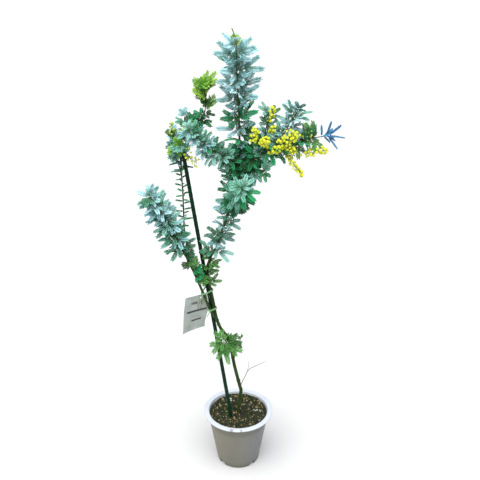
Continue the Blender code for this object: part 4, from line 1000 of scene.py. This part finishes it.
# Fallen twig
# A short tan bit of twig that lies on the mix behind the trunk, its bark gone.
fallen_wood = new_finish("bare_tan_wood", Roughness=0.8, Specular_IOR_Level=0.2)
wire_shader(fallen_wood, Base_Color=ramp(fallen_wood, speckle(fallen_wood, 600.0, 4.0),
                                         (0.3, (0.22, 0.15, 0.05)), (0.7, (0.46, 0.34, 0.14))))
fallen_line = smooth_line([(-0.0112, 0.0585, 0.1268), (-0.0085, 0.0545, 0.1284), (-0.0045, 0.0515, 0.1280),
                           (0.0003, 0.0486, 0.1266)], 0.0015)
fallen_radii = np.linspace(0.0013, 0.0008, len(fallen_line))
fallen_twig = make_piece("fallen_twig", *tube(fallen_line, fallen_radii, 8), fallen_wood)
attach(fallen_twig, "root")

# Racemes
# Thin green stalks with round flower heads on short side stalks. Each head is a ball of fine threads over
# a small core: bright yellow when open, greenish lemon while in bud.
HEAD_CORE = 0.0024
HEAD_REACH = 0.0039
HEAD_THREADS = 84
THREAD_THICKNESS = 0.00034
FLOWER_STALK = (0.00085, 0.00045)
SIDE_STALK = 0.00032

petal_yellow = new_finish("yellow_threads", Specular_IOR_Level=0.2, Sheen_Weight=0.2, Sheen_Roughness=0.5)
head_tone = put(petal_yellow, "Attribute", attribute_name="tone").outputs["Fac"]
head_reach = put(petal_yellow, "Attribute", attribute_name="reach").outputs["Fac"]
head_colour = ramp(petal_yellow, head_tone, (0.0, (0.52, 0.68, 0.16)), (0.30, (0.71, 0.86, 0.055)),
                   (1.0, (0.94, 0.97, 0.045)))
head_pollen = ramp(petal_yellow, speckle(petal_yellow, 900.0, 3.0), (0.40, 0.80), (0.65, 1.0))
head_shaded = blend_colours(petal_yellow, ramp(petal_yellow, head_reach, (0.2, 0.45), (0.9, 0.0)),
                            head_colour, (0.55, 0.61, 0.01))
wire_shader(
    petal_yellow,
    Base_Color=blend_colours(petal_yellow, 1.0, head_shaded, head_pollen, "MULTIPLY"),
    Roughness=ramp(petal_yellow, head_tone, (0.0, 0.6), (1.0, 0.85)),
    Normal=bump(petal_yellow, speckle(petal_yellow, 2200.0, 2.0), 0.0002),
)


def head_shape(middle, size, tone, chance):
    """A ball of threads: a lumpy core and thin spikes all round it."""
    core = GRAIN_POINTS * HEAD_CORE * size * (1 + 0.05 * chance.normal(size=(len(GRAIN_POINTS), 1)))
    parts, cells = [core], [GRAIN_FACES]
    steps = [np.zeros(len(core))]
    number = np.arange(HEAD_THREADS)
    height = 1 - 2 * (number + 0.5) / HEAD_THREADS
    turn = number * LEAF_TURN + chance.uniform(0, 6)
    flat = np.sqrt(1 - height**2)
    out = np.column_stack((flat * np.cos(turn), flat * np.sin(turn), height))
    out += chance.normal(0, 0.06, out.shape)
    out /= np.linalg.norm(out, axis=1)[:, None]
    side = np.cross(out, (0.31, 0.52, 0.79))
    side /= np.linalg.norm(side, axis=1)[:, None]
    other = np.cross(out, side)
    tips = out * (HEAD_REACH * size * chance.uniform(0.90, 1.06, (HEAD_THREADS, 1)))
    base = out * (HEAD_CORE * size * 0.8)
    thick = THREAD_THICKNESS * size
    count = HEAD_THREADS
    corners = [base + thick * (side * math.cos(a) + other * math.sin(a)) for a in (0.0, 2.094, 4.189)]
    offset = len(core)
    parts += [*corners, tips]
    steps += [np.full(3 * count, 0.3), np.ones(count)]
    index = offset + number
    a, b, c, tip = index, index + count, index + 2 * count, index + 3 * count
    cells += [np.column_stack((a, b, tip)), np.column_stack((b, c, tip)), np.column_stack((c, a, tip)),
              np.column_stack((b, a, c))]
    points = np.vstack(parts) + middle
    return points, np.vstack(cells), np.full(len(points), tone), np.concatenate(steps)


def joined(parts):
    """Points and faces of several shapes as one."""
    starts = np.cumsum([0] + [len(points) for points, _ in parts[:-1]])
    return (np.vstack([points for points, _ in parts]),
            np.vstack([faces + start for (_, faces), start in zip(parts, starts)]))


def make_raceme(name, parent, at, points, heads, openness, spread=6, size=1.0, first=0.28, node=True):
    """A stalk with heads set round its outer part, and a short side stalk under each head. Its points and
    how far its heads spread are in millimetres."""
    chance = np.random.default_rng(sum(map(ord, name)) + 7)
    line = smooth_line([point_on(stems[parent], at)[0], *(np.array(points) / 1000)], 0.0025)
    stalks = [tube(line, np.linspace(*FLOWER_STALK, len(line)), 8)]
    parts, cells, tones, steps, total = [], [], [], [], 0
    for number in range(heads):
        share = first + (1 - first) * (number + 0.5) / heads
        foot, along = point_on(line, share)
        side = unit(np.cross(along, (0.2, 0.9, 0.3)))
        turn = number * LEAF_TURN + chance.normal(0, 0.3)
        out = side * math.cos(turn) + np.cross(along, side) * math.sin(turn)
        reach = spread / 1000 * chance.uniform(0.55, 1.15) * (1 - 0.35 * share)
        middle = foot + out * reach + along * 0.0025
        stalk_line = smooth_line([foot, foot + out * reach * 0.6 + along * 0.0004, middle], 0.002)
        stalks.append(tube(stalk_line, np.full(len(stalk_line), SIDE_STALK), 5))
        tone = float(np.clip(openness - 0.45 * share * (1 - openness) + chance.normal(0, 0.14), 0, 1))
        scale = size * chance.uniform(0.84, 1.08) * (0.72 + 0.28 * min(1, tone * 2))
        shape = head_shape(middle, scale, tone, chance)
        parts.append(shape[0])
        cells.append(shape[1] + total)
        tones.append(shape[2])
        steps.append(shape[3])
        total += len(shape[0])
    blooms = make_piece(name + "_heads", np.vstack(parts), np.vstack(cells), petal_yellow,
                        {"tone": np.concatenate(tones), "reach": np.concatenate(steps)})
    stalk = make_piece(name + "_stalk", *joined(stalks), twig_bark)
    for piece in (blooms, stalk):
        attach(piece, "root")
    if node:
        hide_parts(name)


make_raceme("raceme_left_low", "flower_branch", 0.42, ((29, -26, 787), (33, -36, 821)), 20, 0.85,
            spread=8.5, first=0.62)
make_raceme("raceme_left_high", "flower_branch", 0.58, ((46, -34, 784), (53, -46, 805)), 26, 0.98,
            spread=10, first=0.66)
make_raceme("raceme_crown", "pale_side_shoot", 0.7, ((64, -10, 838), (66, -14, 856)), 12, 0.8)
make_raceme("raceme_crown_low", "pale_side_shoot", 0.35, ((62, -12, 806), (68, -20, 818)), 9, 0.8,
            first=0.6)
make_raceme("raceme_middle", "flower_branch", 0.8, ((85, -38, 792), (98, -46, 810), (111, -50, 814)), 42,
            0.92, spread=14, first=0.4)
make_raceme("raceme_middle_low", "flower_branch", 0.7, ((69, -34, 778), (81, -44, 783)), 22, 0.85, spread=9)
make_raceme("raceme_under", "flower_branch_outer", 0.25, ((97, -38, 784), (107, -46, 781)), 18, 0.8,
            spread=8)
make_raceme("raceme_hanging", "flower_branch", 0.97, ((96, -34, 766), (109, -42, 748), (123, -46, 732)), 26,
            0.84, spread=7)
make_raceme("raceme_outer", "flower_branch_outer", 0.7, ((125, -34, 774), (141, -40, 775), (155, -43, 781),
            (168, -44, 780)), 34, 0.85, spread=8.5)
make_raceme("raceme_outer_high", "flower_branch_outer", 0.6, ((134, -32, 806), (140, -34, 814)), 9, 0.2)
make_raceme("raceme_crown_left", "crown_left_shoot", 0.8, ((-129, 12, 803), (-128, 8, 818)), 10, 0.25)
make_raceme("raceme_crown_front", "crown_front_shoot", 0.45, ((-100, -12, 763), (-90, -18, 751),
            (-79, -20, 745)), 20, 0.55, spread=12, size=0.82, first=0.45)
make_raceme("bud_spray_left", "crown_rear_shoot", 0.5, ((-106, 24, 798), (-101, 8, 805)), 8, 0.4,
            spread=8.5, size=1.05, node=False)
make_raceme("bud_spray_right", "crown_rear_shoot", 0.62, ((-96, 28, 806), (-89, 14, 816)), 6, 0.35, size=1,
            node=False)
make_raceme("bud_spray_low", "crown_left_shoot", 0.55, ((-118, 10, 785), (-111, 2, 799)), 6, 0.35, spread=8,
            size=1, node=False)

# Ties
# Two loops of thin wire in a light green plastic skin, drawn round the cane and both stems and twisted
# shut in front, with the ends left sticking out.
TIE_RADIUS = 0.0009
TIE_SLACK = 0.0006
TIE_GAP = 0.0020
TIE_END = 0.014
TIE_TWIST = 0.0008

tie_skin = grained_finish(
    "pale_green_tie", (260.0, 4.0), ((0.3, (0.10, 0.26, 0.10)), (0.7, (0.24, 0.44, 0.20))),
    ((0.3, 0.35), (0.7, 0.6)), 0.0001, IOR=1.46, Specular_IOR_Level=0.4)


def outline_of(points):
    """The taut outline round some flat points, in order."""
    points = sorted(points)

    def half(ordered):
        chain = []
        for x, y in ordered:
            while len(chain) > 1:
                (x1, y1), (x2, y2) = chain[-2:]
                if (x2 - x1) * (y - y1) - (y2 - y1) * (x - x1) > 0:
                    break
                chain.pop()
            chain.append((x, y))
        return chain[:-1]

    return half(points) + half(points[::-1])


def make_tie(name, height):
    circles = [(CANE_FOOT + (CANE_TOP - CANE_FOOT) * (height - CANE_FOOT[2]) / (CANE_TOP[2] - CANE_FOOT[2]),
                CANE_RADIUS * 1.02)]
    for stem, thickness in (("trunk", 0.0034), ("left_branch", 0.0030)):
        circles.append((point_on(stems[stem], share_at_height(stem, height))[0], thickness))
    ring = [(centre[0] + (radius + TIE_RADIUS + TIE_SLACK) * math.cos(math.tau * step / 24),
             centre[1] + (radius + TIE_RADIUS + TIE_SLACK) * math.sin(math.tau * step / 24))
            for centre, radius in circles for step in range(24)]
    loops = []
    hull = outline_of(ring)
    front = min(hull, key=lambda place: place[1])
    knot = np.array((front[0], front[1] - 0.0006, height))
    for turn in range(2):
        level = height + TIE_GAP / 2 - TIE_GAP * turn
        line = smooth_line([(x, y, level) for x, y in [*hull, hull[0]]], 0.0015)[:-1]
        loops.append(tube(line, np.full(len(line), TIE_RADIUS), 8, closed=True))
    for hand in (-1, 1):
        share = np.linspace(0, 1, 22)
        twist = share * 9.0 + (0 if hand > 0 else math.pi)
        hold = np.exp(-((share - 0.2) / 0.28) ** 2)
        lean = np.array((-0.45, -0.40, -0.80)) if hand < 0 else np.array((-0.10, -0.90, 0.25))
        common = np.array((-0.30, -0.85, -0.30))
        line = knot + TIE_END * share[:, None] * (lean * share[:, None] + common * (1 - share[:, None]))
        line = line + TIE_TWIST * (hold * np.cos(twist))[:, None] * np.array((1, 0, 0))
        line = line + TIE_TWIST * (hold * np.sin(twist))[:, None] * np.array((0, 0, 1))
        loops.append(tube(line, np.full(22, TIE_RADIUS * 0.85), 8))
    tie = make_piece(name + "_wire", *joined(loops), tie_skin)
    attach(tie, "root")
    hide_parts(name)


make_tie("upper_tie", 0.4525)
make_tie("lower_tie", 0.4105)

# Label
# A thin white card of plastic, curled and painted grey, partly weathered and partly a painted shade, hung by
# a wire through its punched hole.
# It carries two heavy bars and a few thin lines, printed in dark ink.
LABEL_TOP_LEFT = np.array((-0.110, -0.0195, 0.439))
LABEL_TOP_RIGHT = np.array((-0.0665, -0.0148, 0.449))
LABEL_BOTTOM_LEFT = np.array((-0.118, -0.0255, 0.353))
LABEL_BOTTOM_RIGHT = np.array((-0.0715, -0.0150, 0.367))
LABEL_THICKNESS = 0.0006
LABEL_BULGE = 0.006
LABEL_CURL = 0.003
LABEL_HOLE = (-0.0780, -0.0160, 0.4395)
LABEL_HOLE_RADIUS = 0.0022
LABEL_COLUMNS, LABEL_ROWS = 24, 40
INK_DEPTH, INK_RISE = 0.00005, 0.00008


def label_point(across, down):
    """A point of the label's middle sheet, from its top left corner."""
    left = LABEL_TOP_LEFT + (LABEL_BOTTOM_LEFT - LABEL_TOP_LEFT) * down
    right = LABEL_TOP_RIGHT + (LABEL_BOTTOM_RIGHT - LABEL_TOP_RIGHT) * down
    point = left + (right - left) * across
    point[0] += LABEL_BULGE * math.sin(math.pi * min(1.0, 1.2 * down)) * (across - 0.2)
    point[1] += LABEL_CURL * down * math.sin(math.pi * across)
    return point


def label_normal(across, down):
    """The direction out of the label's front."""
    step = 0.01
    slope = label_point(across + step, down) - label_point(across - step, down)
    fall = label_point(across, down + step) - label_point(across, down - step)
    normal = unit(np.cross(slope, fall))
    return normal if normal[1] < 0 else -normal


def label_patch(left, top, right, bottom, columns, rows, low, high):
    """A thin plate that follows the label between two heights over its middle sheet."""
    points, faces = [], []
    for level in (low, high):
        for row in range(rows + 1):
            for column in range(columns + 1):
                across = left + (right - left) * column / columns
                down = top + (bottom - top) * row / rows
                points.append(label_point(across, down) + level * label_normal(across, down))
    wide = columns + 1
    layer = wide * (rows + 1)
    for row in range(rows):
        for column in range(columns):
            a = row * wide + column
            faces.append((a, a + 1, a + wide + 1, a + wide))
            faces.append((a + layer, a + wide + layer, a + wide + 1 + layer, a + 1 + layer))
    edge = list(range(columns))
    edge += [row * wide + columns for row in range(rows)]
    edge += [rows * wide + column for column in range(columns, 0, -1)]
    edge += [row * wide for row in range(rows, 0, -1)]
    for here, after in zip(edge, edge[1:] + edge[:1]):
        faces.append((after, here, here + layer, after + layer))
    return points, faces


label_plastic = new_finish("weathered_and_shaded_label_plastic", IOR=1.48, Specular_IOR_Level=0.4)
label_clouds = speckle(label_plastic, 60.0, 5.0)
label_spots = speckle(label_plastic, 700.0, 3.0)
# The card's grey is partly weathering and partly painted shade.
wire_shader(
    label_plastic,
    Base_Color=blend_colours(
        label_plastic, ramp(label_plastic, label_spots, (0.56, 0.0), (0.72, 0.4)),
        ramp(label_plastic, label_clouds, (0.3, (0.215, 0.240, 0.205)), (0.7, (0.300, 0.335, 0.330))),
        (0.14, 0.16, 0.13)),
    Roughness=ramp(label_plastic, label_clouds, (0.3, 0.36), (0.7, 0.62)),
    Normal=bump(label_plastic, label_spots, 0.0001, 0.6),
)
card = make_piece("label_card", *label_patch(0, 0, 1, 1, LABEL_COLUMNS, LABEL_ROWS,
                                             -LABEL_THICKNESS / 2, LABEL_THICKNESS / 2), label_plastic)
punch_profile = [(0.0, -0.01), (LABEL_HOLE_RADIUS, -0.01), (LABEL_HOLE_RADIUS, 0.01), (0.0, 0.01)]
punch, punch_faces = spin(punch_profile, 20)
punch = [(x + LABEL_HOLE[0], z + LABEL_HOLE[1], -y + LABEL_HOLE[2]) for x, y, z in punch]
cut_away(card, [make_piece("label_punch", punch, punch_faces, label_plastic)])
card.data.set_sharp_from_angle(angle=math.radians(35))
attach(card, "root")
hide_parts("label")

ink = grained_finish(
    "dark_print_ink", (900.0, 4.0), ((0.35, (0.012, 0.016, 0.014)), (0.75, (0.05, 0.06, 0.055))),
    ((0.3, 0.4), (0.7, 0.7)), Specular_IOR_Level=0.3)
print_parts = [(0.13, 0.408, 0.95, 0.462, 20), (0.35, 0.685, 0.77, 0.727, 12)]
for number in range(5):
    print_parts.append((0.30 + 0.055 * number, 0.175 - 0.008 * (number % 2),
                        0.34 + 0.055 * number, 0.232, 2))
printed_points, printed_faces = [], []
for left, top, right, bottom, columns in print_parts:
    points, faces = label_patch(left, top, right, bottom, columns, 2, LABEL_THICKNESS / 2 - INK_DEPTH,
                                LABEL_THICKNESS / 2 + INK_RISE)
    start = len(printed_points)
    printed_points += points
    printed_faces += [tuple(corner + start for corner in face) for face in faces]
printing = make_piece("label_printing", printed_points, printed_faces, ink, smooth=False)
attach(printing, "root")

olive_wire = grained_finish(
    "olive_wire_skin", (400.0, 3.0), ((0.3, (0.055, 0.075, 0.020)), (0.7, (0.14, 0.17, 0.055))),
    ((0.3, 0.4), (0.7, 0.65)), IOR=1.46, Specular_IOR_Level=0.4)
WIRE_CENTRE = np.array((-0.0690, -0.0150, 0.4395))
WIRE_RING = 0.0090
WIRE_RADIUS = 0.0005
wire_turns = math.tau * np.arange(48) / 48
wire_circle = np.column_stack((np.cos(wire_turns), np.sin(wire_turns), np.zeros(48)))
wire_line = WIRE_CENTRE + WIRE_RING * wire_circle
wire_line[:, 2] += 0.0006 * np.cos(2 * wire_turns)
hanger = make_piece("label_hanger", *tube(wire_line, np.full(48, WIRE_RADIUS), 8, closed=True), olive_wire)
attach(hanger, "root")
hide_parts("label_wire")

# The ends of the hanger's wire, bent into two long loops in front of the card
for number, (left, right, low) in enumerate(((-0.0835, -0.0770, 0.4170), (-0.0760, -0.0735, 0.4290))):
    loop = smooth_line([(-0.0770, -0.0235, 0.4400), (right, -0.0250, 0.4340 - 0.3 * (0.434 - low)),
                        (right - 0.0015, -0.0255, low + 0.002), (left, -0.0255, low),
                        (left + 0.0005, -0.0250, low + 0.009), (-0.0785, -0.0240, 0.4390)], 0.001)
    end = make_piece(f"label_hanger_end_{number}", *tube(loop, np.full(len(loop), WIRE_RADIUS), 6),
                     olive_wire)
    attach(end, "root")
